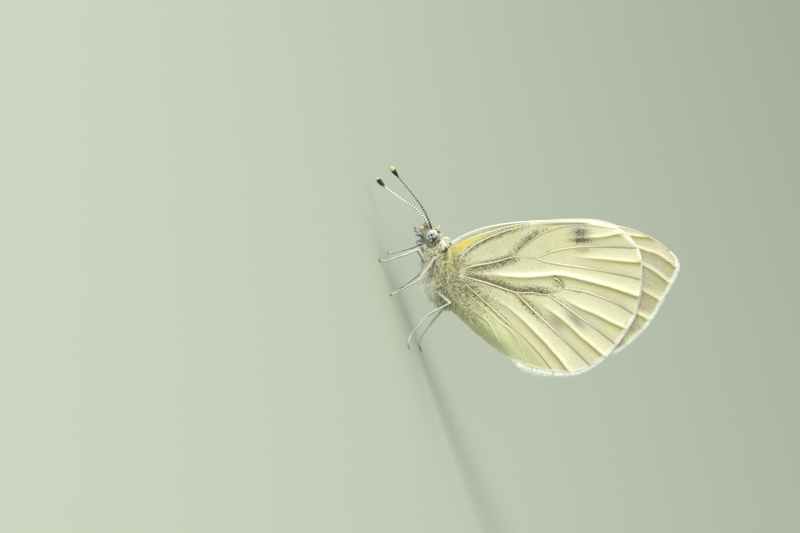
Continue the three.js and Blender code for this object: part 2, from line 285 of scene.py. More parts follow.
def close_tube(points, rows, columns):
    """Adds a middle point at each end of a tube. Gives the points, the faces and their places."""
    ring = np.arange(columns)
    after = (ring + 1) % columns
    start, end, last = rows * columns, rows * columns + 1, (rows - 1) * columns
    low = np.stack([np.full(columns, start), after, ring], axis=-1)
    high = np.stack([np.full(columns, end), ring + last, after + last], axis=-1)
    share = ring / columns
    fan = np.stack([share + 0.5 / columns, share, share + 1 / columns], axis=-1)
    low_places = np.stack([fan[:, [0, 2, 1]], np.tile([-CAP_ROOM, 0.0, 0.0], (columns, 1))], axis=-1)
    high_places = np.stack([fan, np.tile([1 + CAP_ROOM, 1.0, 1.0], (columns, 1))], axis=-1)
    places = [tube_places(rows, columns), low_places, high_places]
    places = np.vstack([part.reshape(-1, 2) for part in places])
    points = np.vstack([points, points[:columns].mean(axis=0), points[-columns:].mean(axis=0)])
    faces = [grid_faces(rows, columns, closed=True), low, high]
    return points, faces, places * [1, 1 - 2 * CAP_ROOM] + [0, CAP_ROOM]


def on_map(turn, share):
    """Where an angle round a closed tube and a share along it lie on its map."""
    return np.stack([turn / (2 * math.pi), CAP_ROOM + (1 - 2 * CAP_ROOM) * share], axis=-1)


def blend_colours(nodes, link, first, second, share):
    """A Mix node from one colour to another. A colour is four numbers or a socket, share a socket."""
    mix = nodes.new("ShaderNodeMix")
    mix.data_type = "RGBA"
    for socket, value in ((mix.inputs[6], first), (mix.inputs[7], second)):
        if isinstance(value, tuple):
            socket.default_value = value
        else:
            link(value, socket)
    link(share, mix.inputs[0])
    return mix.outputs[2]


def kept(nodes, label):
    """The number kept on the points under a name."""
    node = nodes.new("ShaderNodeAttribute")
    node.attribute_name = label
    return node.outputs["Fac"]


def layered(nodes, link, shown, tints):
    """Tints laid over a colour one after another, each as far as the number of its name says."""
    for label, tint in tints.items():
        shown = blend_colours(nodes, link, shown, colour(*tint), kept(nodes, label))
    return shown


def stretched(nodes, link, value, low, high):
    """A number carried from low..high to 0..1 and held there."""
    node = nodes.new("ShaderNodeMapRange")
    node.inputs["From Min"].default_value = low
    node.inputs["From Max"].default_value = high
    link(value, node.inputs["Value"])
    return node.outputs["Result"]


def grain(nodes, link, size):
    """Cloudy noise on object coordinates, its lumps about size millimetres across."""
    where = nodes.new("ShaderNodeTexCoord")
    noise = nodes.new("ShaderNodeTexNoise")
    noise.inputs["Scale"].default_value = 1 / (size * MM)
    noise.inputs["Detail"].default_value = 3.0
    link(where.outputs["Object"], noise.inputs["Vector"])
    return noise.outputs["Fac"]


def mottled(nodes, link, first, second, size, low=0.4, high=0.6):
    """Clouds of one colour in another, about size millimetres across, with edges from low to high."""
    clouds = stretched(nodes, link, grain(nodes, link, size), low, high)
    return blend_colours(nodes, link, colour(*first), colour(*second), clouds)


def arithmetic(nodes, link, operation, first, second):
    """A Math node on two values, each a number or a socket."""
    node = nodes.new("ShaderNodeMath")
    node.operation = operation
    for socket, value in ((node.inputs[0], first), (node.inputs[1], second)):
        if isinstance(value, float):
            socket.default_value = value
        else:
            link(value, socket)
    return node.outputs[0]


def cells(nodes, link, size):
    """The outputs of rounded cells on object coordinates, about size millimetres across."""
    where = nodes.new("ShaderNodeTexCoord")
    pattern = nodes.new("ShaderNodeTexVoronoi")
    pattern.inputs["Scale"].default_value = 1 / (size * MM)
    link(where.outputs["Object"], pattern.inputs["Vector"])
    return pattern.outputs


def speckle(nodes, link, shown, tint, size, chance):
    """Round specks of a tint over a colour: one in each cell, if the cell's lot is below chance."""
    cell = cells(nodes, link, size)
    lot = nodes.new("ShaderNodeSeparateColor")
    link(cell["Color"], lot.inputs["Color"])
    margin = arithmetic(nodes, link, "SUBTRACT", chance, lot.outputs["Red"])
    drawn = stretched(nodes, link, margin, -0.04, 0.06)
    dot = stretched(nodes, link, cell["Distance"], 0.7, 0.46)
    return blend_colours(nodes, link, shown, tint, arithmetic(nodes, link, "MULTIPLY", drawn, dot))


def roughen(nodes, link, shader, height, depth, strength):
    """Bumps the surface by a height, depth millimetres deep."""
    bump = nodes.new("ShaderNodeBump")
    bump.inputs["Distance"].default_value = depth * MM
    bump.inputs["Strength"].default_value = strength
    link(height, bump.inputs["Height"])
    link(bump.outputs["Normal"], shader.inputs["Normal"])


def coat_colours(nodes, link):
    """The coat's colour from its markings, the same for skin and tufts."""
    shown = mottled(nodes, link, (216, 216, 168), (246, 242, 204), 0.5, 0.35, 0.65)
    shown = layered(nodes, link, shown, {"olive": (206, 204, 142), "gold": (228, 210, 120)})
    shown = speckle(nodes, link, shown, colour(104, 98, 56), 0.12, 0.2)
    tints = {"frost": (250, 250, 238), "cream": (255, 253, 236), "rust": (98, 76, 36)}
    return layered(nodes, link, shown, tints)


share, angle = np.meshgrid(
    np.linspace(0, 1, SKIN_ROWS), np.linspace(0, 2 * math.pi, SKIN_COLUMNS, endpoint=False), indexing="ij"
)
skin_points, _, _ = skin_at(share.ravel(), angle.ravel())
skin_points, skin_faces, skin_places = close_tube(skin_points, SKIN_ROWS, SKIN_COLUMNS)
hide, nodes, link, shader = new_finish("downy_skin", 0.7)
shader.inputs["Sheen Weight"].default_value = 0.1
shown = blend_colours(nodes, link, coat_colours(nodes, link), colour(84, 80, 52), grain(nodes, link, 0.12))
link(shown, shader.inputs["Base Color"])
roughen(nodes, link, shader, grain(nodes, link, 0.08), 0.02, 0.6)
skin = make_mesh("body_skin", skin_points, skin_faces, hide, coat_marks(skin_points), skin_places)
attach(skin, "root")
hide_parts("head", "thorax", "abdomen")

# ---- Body coat -------------------------------------------------------------------------------
# Hair-like scales in thin pointed tufts, rooted in the skin and lying towards the tail: shaggy on
# the thorax, upright on collar and crown, short on face and abdomen. They part round the eyes.
EYE_MIDDLE, EYE_HALF = np.array([-4.95, 0.84, 5.63]), np.array([0.6, 0.52, 0.8])
EYE_LEAN = math.radians(30)
EYE_AXES = np.array([  # across, outward and along an eye, seen on the right side
    (math.cos(EYE_LEAN), 0.0, math.sin(EYE_LEAN)),
    (0.0, 1.0, 0.0),
    (-math.sin(EYE_LEAN), 0.0, math.cos(EYE_LEAN)),
])
EYE_CLEARANCE = 1.08  # of an eye's own half size, kept free of tufts
COAT_TUFTS, BELLY_TUFTS = 12400, 4500
COAT_SHARES, BELLY_SHARES = (0.0, 0.62), (0.6, 1.0)  # of the way from face to tail
TUFT_RINGS = ((0.0, 0.75), (0.3, 1.0), (0.68, 0.62))  # share of the length, share of the width
TUFT_POINTS = 10  # three on each ring, and the tip
TUFT_FACES = grid_faces(3, 3, closed=True)
TUFT_ENDS = np.array([(6, 7, 9), (7, 8, 9), (8, 6, 9), (2, 1, 0)])
TUFT_MAP = 0.003  # width of a tuft's patch on the map
TUFT_FLATNESS = 0.3  # of its thickness to its width
TUFT_DEPTH = 0.03  # how far it is rooted in the skin


def make_tufts(name, finish, roots, outward, lie, long, wide, lift, droop, sway, places, fields):
    """Many thin pointed three-sided tufts in one mesh, with their patches on the map OFBake.

    A middle line leaves the root at the angle lift above the lie, and bends by droop back to the
    skin and by sway to one side: p(s) = root + long (s start + s² (sway side - droop outward) / 2).
    """
    across = unit(np.cross(outward, lie))
    lie = np.cross(across, outward)
    start = np.cos(lift)[:, None] * lie + np.sin(lift)[:, None] * outward
    bend = sway[:, None] * across - droop[:, None] * outward
    rings = []
    for s, girth in TUFT_RINGS:
        middle = roots - TUFT_DEPTH * outward + long[:, None] * (s * start + s * s * bend / 2)
        heading = unit(start + s * bend)
        side = unit(np.cross(heading, outward))
        above = np.cross(side, heading)
        for j in range(3):
            turn = 2 * math.pi * (j + 0.25) / 3
            spoke = math.cos(turn) * side - TUFT_FLATNESS * math.sin(turn) * above
            rings.append(middle + wide[:, None] * girth / 2 * spoke)
    rings.append(roots + long[:, None] * (start + bend / 2))
    points = np.stack(rings, axis=1).reshape(-1, 3)
    first = TUFT_POINTS * np.arange(len(roots))[:, None, None]
    blocks = [(TUFT_FACES + first).reshape(-1, 4), (TUFT_ENDS + first).reshape(-1, 3)]
    s = [part for part, _ in TUFT_RINGS]
    quads = [
        ((j / 3, s[r]), ((j + 1) / 3, s[r]), ((j + 1) / 3, s[r + 1]), (j / 3, s[r + 1]))
        for r in (0, 1)
        for j in range(3)
    ]
    tips = [((j / 3, s[2]), ((j + 1) / 3, s[2]), ((j + 0.5) / 3, 1.0)) for j in range(3)]
    base = [((0.7, -0.02), (0.3, -0.02), (0.5, -0.15))]
    corners = [
        (places[:, None, None, :] + TUFT_MAP * (np.array(spots)[None] - [0.5, 0.43])).reshape(-1, 2)
        for spots in (quads, tips + base)
    ]
    spread = {label: np.repeat(values, TUFT_POINTS) for label, values in fields.items()}
    spread["along"] = np.tile(np.repeat([*s, 1.0], [3, 3, 3, 1]), len(roots))
    return make_mesh(name, points, blocks, finish, spread, np.vstack(corners), smooth=False)


def coat_finish(name, root_shade_colour):
    """Tufts in the coat's markings, with painted shade at the root, and some of them pale or with a dark
    tip.
    """
    finish, nodes, link, shader = new_finish(name, 0.65)
    shader.inputs["Sheen Weight"].default_value = 0.2
    upper = stretched(nodes, link, kept(nodes, "along"), 0.2, 0.5)
    tipped = arithmetic(nodes, link, "MULTIPLY", kept(nodes, "dark"), upper)
    shown = blend_colours(nodes, link, coat_colours(nodes, link), colour(50, 50, 20), tipped)
    shown = layered(nodes, link, shown, {"pale": (253, 250, 228)})
    # The root colour is painted shade: each tuft darkens towards its root, except where the coat is cream.
    painted_root_shade = layered(nodes, link, colour(*root_shade_colour), {"cream": (252, 247, 228)})
    grown = stretched(nodes, link, kept(nodes, "along"), -0.25, 0.25)
    link(blend_colours(nodes, link, painted_root_shade, shown, grown), shader.inputs["Base Color"])
    return finish


def drawn_on_skin(count, low, high, draw):
    """Shares between low and high and angles, evenly over the skin's surface: the chance of a share
    is its ring's half height and half width together, times the step to the next ring."""
    area = (skin_line[:, 2] + skin_line[:, 3]) * np.hypot(*np.gradient(skin_line[:, :2], axis=0).T)
    area = area * (skin_shares >= low) * (skin_shares <= high)
    total = np.cumsum(area)
    return np.interp(draw.random(count) * total[-1], total, skin_shares), draw.random(count) * 2 * math.pi


def some_of(draw, count, chance, least):
    """Random numbers from least to 1 on those drawn with a chance, and 0 on the others."""
    return (draw.random(count) < chance) * draw.uniform(least, 1.0, count)


draw = np.random.default_rng(11)
share, angle = drawn_on_skin(COAT_TUFTS, *COAT_SHARES, draw)
roots, outward, tailward = skin_at(share, angle)
eye = EYE_MIDDLE * np.stack([np.ones(len(roots)), np.sign(roots[:, 1]), np.ones(len(roots))], axis=-1)
from_eye = (roots - eye) @ EYE_AXES.T / EYE_HALF
clear = np.linalg.norm(from_eye, axis=1) > EYE_CLEARANCE
share, angle, from_eye = share[clear], angle[clear], from_eye[clear]
roots, outward, tailward = roots[clear], outward[clear], tailward[clear]
x, z = roots[:, 0], roots[:, 2]
count = len(x)
on_head = smooth_step(-4.55 - x, 0.0, 0.3)
on_collar = smooth_step(-3.2 - x, 0.0, 0.6) * (1 - on_head) * smooth_step(z, 5.9, 6.4)
beneath = smooth_step(4.9 - z, 0.0, 1.2) * (1 - on_head)
downward = np.array([0.0, 0.0, -1.0])
lie = tailward * (1 - 1.5 * on_head)[:, None] + downward * (0.25 + 0.25 * beneath - 0.6 * on_head)[:, None]
near_eye = np.exp(-((np.linalg.norm(from_eye, axis=1) - 1.1) / 0.35)) * on_head
strewn = (0.5 - 0.2 * beneath - 0.15 * on_collar)[:, None] * draw.normal(size=lie.shape)
lie = unit(lie + strewn + 1.2 * near_eye[:, None] * unit(from_eye @ EYE_AXES))
long = (0.6 - 0.32 * on_head + 0.32 * on_collar + 0.55 * beneath) * draw.uniform(0.6, 1.25, count)
long = long * (1 - 0.35 * near_eye)
lift = np.radians(24 + 14 * on_head + 10 * on_collar + 6 * beneath - 20 * near_eye)
lift = lift + 0.16 * draw.normal(size=count)
marks = coat_marks(roots + 0.5 * long[:, None] * lie)
dark = some_of(draw, count, 0.36 - 0.34 * on_collar - 0.39 * beneath + 0.5 * marks["rust"], 0.6)
pale = some_of(draw, count, 0.44 + 0.4 * on_collar + 0.2 * beneath - 0.6 * marks["rust"], 0.4)
# The second colour given to coat_finish here and below is the painted shade at the tufts' roots.
coat = make_tufts(
    "thorax_coat",
    coat_finish("body_hair", (204, 206, 160)),
    roots,
    outward,
    lie,
    long,
    (0.066 - 0.022 * on_head + 0.02 * on_collar) * draw.uniform(0.6, 1.4, count),
    np.clip(lift, 0.05, 1.3),
    0.35 + 0.25 * draw.normal(size=count),
    0.35 * draw.normal(size=count),
    on_map(angle, share),
    {**marks, "dark": dark, "pale": pale * (1 - (dark > 0))},
)
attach(coat, "root")

count = BELLY_TUFTS
share, angle = drawn_on_skin(count, *BELLY_SHARES, draw)
roots, outward, tailward = skin_at(share, angle)
dark = some_of(draw, count, 0.2 + 0.3 * smooth_step(np.cos(angle), 0.2, 0.8), 0.5)
coat = make_tufts(
    "abdomen_coat",
    coat_finish("belly_hair", (168, 163, 124)),
    roots,
    outward,
    unit(tailward + 0.12 * draw.normal(size=tailward.shape)),
    0.42 * draw.uniform(0.7, 1.3, count),
    0.075 * draw.uniform(0.7, 1.3, count),
    np.radians(14) + 0.06 * draw.normal(size=count),
    0.25 + 0 * share,
    0.2 * draw.normal(size=count),
    on_map(angle, share),
    {**coat_marks(roots), "dark": dark, "pale": 0.5 * (draw.random(count) < 0.3)},
)
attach(coat, "root")

# The crown carries spiky tufts, rusty in front between the antennae, with a pale plume behind
# each antenna, and a few dark hairs beside it.
CROWN_TUFTS = [  # x, y, z of the root, direction, spread, length, locks, rust, cream, dark
    ((-5.9, 0.12, 5.2), (-1.0, 0.1, 0.0), 0.3, 0.5, 16, 0.4, 0.6, 0.6),
    ((-5.75, 0.3, 5.5), (-1.0, 0.15, 0.15), 0.26, 0.52, 14, 0.4, 0.7, 0.6),
    ((-5.2, 0.3, 6.12), (-0.72, 0.02, 0.7), 0.02, 0.88, 2, 0.0, 1.0, 0.0),
    ((-5.0, 0.3, 6.2), (-0.75, 0.0, 0.66), 0.03, 0.36, 1, 1.0, 0.0, 0.7),
    ((-5.3, 0.3, 6.0), (-0.7, 0.3, 0.7), 0.25, 0.3, 5, 0.6, 0.3, 0.6),
    ((-4.75, 0.5, 6.1), (-0.4, 0.5, 0.8), 0.3, 0.34, 9, 0.15, 0.9, 0.5),
    ((-5.9, 0.3, 4.95), (-1.0, 0.3, -0.3), 0.35, 0.42, 12, 0.1, 1.0, 0.4),
]
LOCK = 10  # tufts in a lock
pieces = [[] for _ in range(7)]
for middle, way, spread, length, locks, rust, cream, dark in CROWN_TUFTS:
    for side in (-1, 1):
        count = locks * LOCK
        lock = np.repeat(np.arange(locks), LOCK)
        roots = np.array(middle) * [1, side, 1] + 0.5 * spread * draw.normal(size=(locks, 3))[lock]
        ways = np.array(way) * [1, side, 1] + spread * draw.normal(size=(locks, 3))[lock]
        rusty = (draw.random(locks) < rust)[lock]
        pieces[0].append(roots + 0.03 * draw.normal(size=(count, 3)))
        pieces[1].append(unit(ways + 0.07 * draw.normal(size=(count, 3))))
        pieces[2].append(length * draw.uniform(0.8, 1.1, locks)[lock] * draw.uniform(0.8, 1.1, count))
        pieces[3].append(0.12 + 0.6 * rusty)
        pieces[4].append(cream * (1.0 - rusty))
        pieces[5].append(rusty * some_of(draw, count, dark, 0.5))
        round_it, down_it = 0.5 + 0.1 * side * draw.random(count), 0.06 + 0.1 * draw.random(count)
        pieces[6].append(np.stack([round_it, down_it], axis=-1))
roots, ways, long, rust, cream, dark, places = (np.concatenate(part) for part in pieces)
count = len(roots)
crown = make_tufts(
    "crown_coat",
    bpy.data.materials["body_hair"],
    roots,
    unit(np.cross(ways, unit(np.cross(ways, [0.2, 1.0, 0.1])))),
    ways,
    long,
    0.05 * draw.uniform(0.7, 1.3, count),
    0.05 * draw.normal(size=count),
    0.25 * draw.normal(size=count),
    0.25 * draw.normal(size=count),
    places,
    {"rust": rust, "cream": cream, "dark": dark, "pale": 0.5 * (dark == 0) * (draw.random(count) < 0.3)},
)
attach(crown, "root")

# ---- Eyes ------------------------------------------------------------------------------------
# Two bulging domes of clear horny facets, set in the sides of the head. They are pale grey-green,
# with a dark spot that faces outwards and lesser spots round it, painted shade in the crease behind,
# round the rim and over the lower part, and a painted highlight over the upper part.
EYE_ROWS, EYE_COLUMNS = 120, 160
EYE_SPOTS = [  # forward, up, half size, depth
    (0.14, 0.15, 0.115, 1.0), (0.08, -0.15, 0.095, 0.85), (-0.25, 0.13, 0.115, 1.0),
        (0.16, 0.44, 0.085, 0.7),
    (0.36, 0.40, 0.07, 0.55), (0.43, 0.12, 0.07, 0.5), (-0.2, -0.15, 0.1, 0.65), (-0.04, -0.51, 0.08, 0.4),
    (-0.32, -0.44, 0.09, 0.4), (0.22, -0.42, 0.08, 0.5), (0.36, -0.16, 0.08, 0.5), (-0.10, 0.42, 0.07, 0.5),
]
lens_finish, nodes, link, shader = new_finish("eye_facets", 0.22)
shown = mottled(nodes, link, (162, 174, 162), (218, 227, 219), 0.22, 0.35, 0.65)
# The dark rim tint is painted shade, and the pale milky tint a painted highlight.
shown = layered(nodes, link, shown, {"painted_highlight": (250, 245, 232), "rim_and_painted_light": (44, 46, 32), "spots": (20, 30, 28)})
link(shown, shader.inputs["Base Color"])
roughen(nodes, link, shader, cells(nodes, link, 0.05)["Distance"], -0.006, 0.5)
pole = np.linspace(0.02, math.pi - 0.02, EYE_ROWS)
pole, around = np.meshgrid(pole, np.linspace(0, 2 * math.pi, EYE_COLUMNS, endpoint=False), indexing="ij")
dome = np.stack([np.sin(pole) * np.cos(around), np.sin(pole) * np.sin(around), np.cos(pole)], axis=-1)
dome = dome.reshape(-1, 3)
for which, side in (("left", -1), ("right", 1)):
    ball = np.stack([dome[:, 0], side * dome[:, 2], side * dome[:, 1]], axis=-1)
    points, faces, places = close_tube(ball, EYE_ROWS, EYE_COLUMNS)
    outer = side * points[:, 1] > 0
    placed = points * EYE_HALF @ EYE_AXES
    spots = np.zeros(len(points))
    for forward, up, half, depth in EYE_SPOTS:
        reach = np.hypot(-placed[:, 0] - forward, placed[:, 2] - up)
        spots = np.maximum(spots, outer * depth * (1 - smooth_step(reach, half * 0.75, half * 1.7)))
    # Painted shade in the crease behind the eye, round the rim where it meets the head and over its lower
    # part; a painted highlight over its upper part.
    painted_shade_behind = smooth_step(points[:, 0] - 0.12 * points[:, 2], 0.6, 0.78)
    rim_and_painted_light = np.maximum(1 - smooth_step(side * points[:, 1], 0.0, 0.3), painted_shade_behind)
    rim_and_painted_light = np.maximum(rim_and_painted_light, 0.42 * smooth_step(-points[:, 2], 0.25, 0.8))
    above = 0.8 * points[:, 2] - 0.6 * points[:, 0]
    painted_highlight = 0.3 * smooth_step(above, 0.1, 0.6) + 0.5 * smooth_step(above, 0.62, 0.85)
    eye = make_mesh(
        f"eye_{which}_dome",
        placed + EYE_MIDDLE * [1, side, 1],
        faces,
        lens_finish,
        {"spots": spots, "rim_and_painted_light": rim_and_painted_light, "painted_highlight": painted_highlight},
        places,
    )
    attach(eye, "root")
    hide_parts(f"eye_{which}")

# ---- Palps and tongue ------------------------------------------------------------------------
# Two short jointed feelers under the face, brushes of grey and white bristles, and between them
# the tongue, a dark horny tube coiled like a watch spring.
PALP_PATH = np.array([(-4.6, 0.3, 4.9), (-5.2, 0.36, 4.7), (-5.9, 0.38, 4.46), (-6.68, 0.36, 4.2)])
PALP_STEPS, PALP_LOCKS = 40, 72
TONGUE_MIDDLE, TONGUE_REACH, TONGUE_TURNS, TONGUE_STEPS = (-4.75, 4.06), 0.3, 2.4, 220


def rod(line, girth, sides=10, above=(0.0, 0.0, 1.0)):
    """A round rod along a line, with a half width at each point, closed at both ends.

    Points are line + girth (cos a across - sin a over), with over as near as can be to above.
    Gives the points, faces, places, and the share along and outward direction of each point.
    """
    line = np.asarray(line, dtype=float)
    heading = unit(np.gradient(line, axis=0))
    across = unit(np.cross(heading, np.asarray(above)))
    over = np.cross(across, heading)
    turn = np.linspace(0, 2 * math.pi, sides, endpoint=False)[None, :, None]
    outward = (np.cos(turn) * across[:, None] - np.sin(turn) * over[:, None]).reshape(-1, 3)
    points = np.repeat(line, sides, axis=0) + np.repeat(girth, sides)[:, None] * outward
    points, faces, places = close_tube(points, len(line), sides)
    share = np.concatenate([np.repeat(np.linspace(0, 1, len(line)), sides), [0.0, 1.0]])
    return points, faces, places, share, np.vstack([outward, -heading[0], heading[-1]])


def even_steps(line, count):
    """The same line with its points moved to equal steps along its length."""
    line = np.asarray(line, dtype=float)
    length = np.concatenate([[0], np.cumsum(np.linalg.norm(np.diff(line, axis=0), axis=1))])
    steps = np.linspace(0, length[-1], count)
    return np.stack([np.interp(steps, length, line[:, n]) for n in range(line.shape[1])], axis=-1)


def outward_at(heading, turn, above):
    """The directions that leave a line at an angle round it, from its headings and a direction above it:
    the cosine across the line and the sine over it."""
    across = unit(np.cross(heading, above))
    over = np.cross(across, heading)
    return np.cos(turn)[:, None] * across + np.sin(turn)[:, None] * over


palp_finish, nodes, link, shader = new_finish("palp_scales", 0.7)
link(mottled(nodes, link, (120, 112, 118), (206, 202, 202), 0.16), shader.inputs["Base Color"])
bristle_finish, nodes, link, shader = new_finish("palp_bristles", 0.55)
link(layered(nodes, link, colour(250, 251, 244), {"dark": (70, 62, 68)}), shader.inputs["Base Color"])
draw = np.random.default_rng(23)
for which, side in (("left", -1), ("right", 1)):
    line = even_steps(through(PALP_PATH * [1, side, 1], 80), PALP_STEPS)
    shares = np.linspace(0, 1, PALP_STEPS)
    girth = np.interp(shares, [0, 0.3, 0.6, 0.8, 0.94, 1], [0.16, 0.2, 0.17, 0.09, 0.05, 0.02])
    points, faces, places, _, _ = rod(line, girth, 12)
    palp = make_mesh(f"palp_{which}_stem", points, faces, palp_finish, places=places)
    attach(palp, "root")
    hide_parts(f"palp_{which}")
    count, locks = PALP_LOCKS * LOCK, PALP_LOCKS
    lock = np.repeat(np.arange(locks), LOCK)
    share = np.clip(draw.random(locks)[lock] ** 1.2 + 0.012 * draw.normal(size=count), 0, 1)
    turn = 2 * math.pi * draw.random(locks)[lock] + 0.12 * draw.normal(size=count)
    step = share * (PALP_STEPS - 1)
    low = np.minimum(step.astype(int), PALP_STEPS - 2)
    middle = line[low] + (step - low)[:, None] * (line[low + 1] - line[low])
    heading = unit(line[low + 1] - line[low])
    outward = outward_at(heading, turn, [0.0, 0.0, 1.0])
    under = smooth_step(-outward[:, 2], -0.4, 0.5)
    long = 0.24 - 0.1 * share + 1.0 * under * (1 - share) ** 1.3
    lie = unit(heading + 0.08 * draw.normal(size=(locks, 3))[lock])
    long = long * draw.uniform(0.75, 1.15, locks)[lock] * draw.uniform(0.75, 1.1, count)
    wide = 0.055 * draw.uniform(0.7, 1.3, count)
    lift = np.radians(6 + 72 * under * (1 - 0.8 * share)) + 0.1 * draw.normal(size=locks)[lock]
    droop = 0.15 * draw.normal(size=count)
    sway = 0.3 * draw.normal(size=locks)[lock]
    dark = (draw.random(locks) < 0.6 - 0.25 * smooth_step(share[::LOCK], 0.2, 0.5))[lock]
    roots = middle + outward * np.interp(share, shares, girth)[:, None]
    brush = make_tufts(
        f"palp_{which}_bristles",
        bristle_finish,
        roots,
        outward,
        lie,
        long,
        wide,
        lift,
        droop,
        sway,
        on_map(turn, share),
        {"dark": dark * draw.uniform(0.7, 1.0, count)},
    )
    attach(brush, "root")

horn, nodes, link, shader = new_finish("tongue_horn", 0.35)
link(mottled(nodes, link, (70, 58, 40), (112, 92, 62), 0.15), shader.inputs["Base Color"])
share = np.linspace(0, 1, TONGUE_STEPS)
turn = math.pi * 0.45 - 2 * math.pi * TONGUE_TURNS * share
reach = TONGUE_REACH * (1 - 0.8 * share)
coil_x, coil_z = TONGUE_MIDDLE[0] + reach * np.cos(turn), TONGUE_MIDDLE[1] + reach * np.sin(turn)
coil = np.stack([coil_x, 0 * share, coil_z], axis=-1)
coil = np.vstack([np.linspace((-4.85, 0.0, 4.75), coil[0], 12)[:-1], coil])
girth = np.interp(np.linspace(0, 1, len(coil)), [0, 0.1, 1], [0.1, 0.075, 0.03])
points, faces, places, _, _ = rod(coil, girth, 12, (0.0, 1.0, 0.0))
tongue = make_mesh("tongue_coil", points, faces, horn, places=places)
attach(tongue, "root")
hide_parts("proboscis")

# ---- Antennae --------------------------------------------------------------------------------
# Two thin rods of some twenty-eight short joints, each a little wider at its far end, with a club
# of fused joints at the tip. Rings of scales cover them, dark outside and white inside, and the
# club is black with a cream end.
ANTENNA_PATHS = {
    "left": [
        (-5.5, -0.36, 5.8), (-5.86, -0.5, 5.88), (-7.84, -1.7, 5.88), (-9.98, -3.1, 5.39),
            (-11.94, -4.5, 4.79),
        (-13.2, -5.4, 4.5),
    ],
    "right": [
        (-5.5, 0.36, 5.7), (-5.86, 0.5, 5.75), (-7.86, 1.8, 4.8), (-9.6, 3.1, 3.4), (-11.4, 4.4, 1.95),
        (-12.7, 5.3, 1.2),
    ],
}
ANTENNA_JOINTS, ANTENNA_STEPS = 28, 409
ring_finish, nodes, link, shader = new_finish("ringed_scales", 0.55)
tints = {"worn": (116, 100, 58), "white": (240, 246, 230), "club": (22, 20, 12), "tip": (222, 208, 160)}
link(layered(nodes, link, colour(40, 34, 16), tints), shader.inputs["Base Color"])
for which, side in (("left", -1), ("right", 1)):
    line = even_steps(through(ANTENNA_PATHS[which], 300), ANTENNA_STEPS)
    share = np.linspace(0, 1, ANTENNA_STEPS)
    joint = share * ANTENNA_JOINTS % 1
    bead = 1 - 0.6 * smooth_step(share, 0.35, 0.7)
    girth = 0.068 + 0.044 * bead * np.sin(math.pi * joint) ** 2 + 0.18 * smooth_step(share, 0.8, 0.945)
    girth = girth * np.sqrt(np.clip(1 - np.clip((share - 0.955) / 0.045, 0, 1) ** 2, 0.02, 1))
    points, faces, places, along, outward = rod(line, girth, 14)
    inside = smooth_step(-side * outward[:, 1], -0.35, 0.25)
    joint = along * ANTENNA_JOINTS % 1
    dark_end = smooth_step(joint, 0.62, 0.78) * (1 - smooth_step(along, 0.4, 0.6))
    band = smooth_step(joint, 0.06, 0.2) * (1 - dark_end)
    thin_ring = smooth_step(joint, 0.6, 0.72) * (1 - smooth_step(joint, 0.9, 1.0))
    thin_ring = thin_ring * smooth_step(along, 0.05, 0.2) * 0.6
    fields = {
        "white": np.maximum(inside * band, (1 - inside) * thin_ring),
        "worn": smooth_step(along, 0.35, 0.55),
        "club": smooth_step(along, 0.8, 0.87),
        "tip": smooth_step(along, 0.948, 0.96),
    }
    antenna = make_mesh(f"antenna_{which}_rod", points, faces, ring_finish, fields, places)
    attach(antenna, "root")
    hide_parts(f"antenna_{which}")

# ---- Legs ------------------------------------------------------------------------------------
# Six slender legs of thigh, shin and a five-jointed foot with two small claws, covered in close
# white and grey scales, with painted shade along the side that faces down and towards the tail,
# browner at the feet, and with a few fine hairs.
LEG_PATHS = {  # body, knee, ankle, heel, foot and toe
    "front_left": [
        (-2.1, -0.6, 4.2), (-4.1, -1.8, 3.95), (-4.0, -2.6, 2.3), (-4.0, -3.0, 0.5), (-4.2, -3.6, 0.1),
        (-4.3, -4.2, 0.08),
    ],
    "front_right": [
        (-2.1, 0.6, 4.3), (-4.5, 1.8, 3.9), (-4.5, 2.6, 2.6), (-4.6, 3.0, 0.5), (-4.8, 3.6, 0.1),
        (-4.95, 4.2, 0.08),
    ],
    "middle_left": [
        (-0.45, -0.75, 4.0), (-2.75, -2.8, 5.6), (-1.0, -3.2, 3.2), (-0.55, -3.4, 0.6), (-0.5, -3.9, 0.1),
        (-0.45, -4.5, 0.08),
    ],
    "middle_right": [
        (-0.45, 0.75, 4.0), (-2.9, 2.8, 4.7), (-1.5, 3.3, 2.4), (-0.9, 3.4, 0.6), (-0.8, 3.9, 0.1),
        (-0.75, 4.5, 0.08),
    ],
    "hind_left": [
        (0.5, -0.7, 4.1), (2.3, -3.1, 5.6), (2.75, -3.2, 3.0), (4.1, -3.3, 0.7), (4.8, -3.5, 0.1),
        (5.4, -3.7, 0.08),
    ],
    "hind_right": [
        (0.5, 0.7, 4.1), (2.1, 3.1, 4.9), (3.6, 3.3, 2.3), (4.7, 3.5, 0.75), (5.5, 3.8, 0.1),
        (6.1, 4.1, 0.08),
    ],
}
LEG_STEPS, LEG_HAIRS, LEG_RINGS = 301, 260, 37
leg_finish, nodes, link, shader = new_finish("leg_scales_close", 0.6)
shown = mottled(nodes, link, (196, 196, 184), (238, 238, 230), 0.09)
# The darkest tint is painted shade on the side of a leg turned away from the light.
tints = {"thigh": (184, 178, 172), "under": (104, 97, 84), "foot": (132, 110, 74)}
link(layered(nodes, link, shown, tints), shader.inputs["Base Color"])
roughen(nodes, link, shader, grain(nodes, link, 0.06), 0.01, 0.6)
hair_finish, nodes, link, shader = new_finish("leg_bristles", 0.55)
link(layered(nodes, link, colour(226, 226, 214), {"dark": (92, 82, 62)}), shader.inputs["Base Color"])
draw = np.random.default_rng(31)
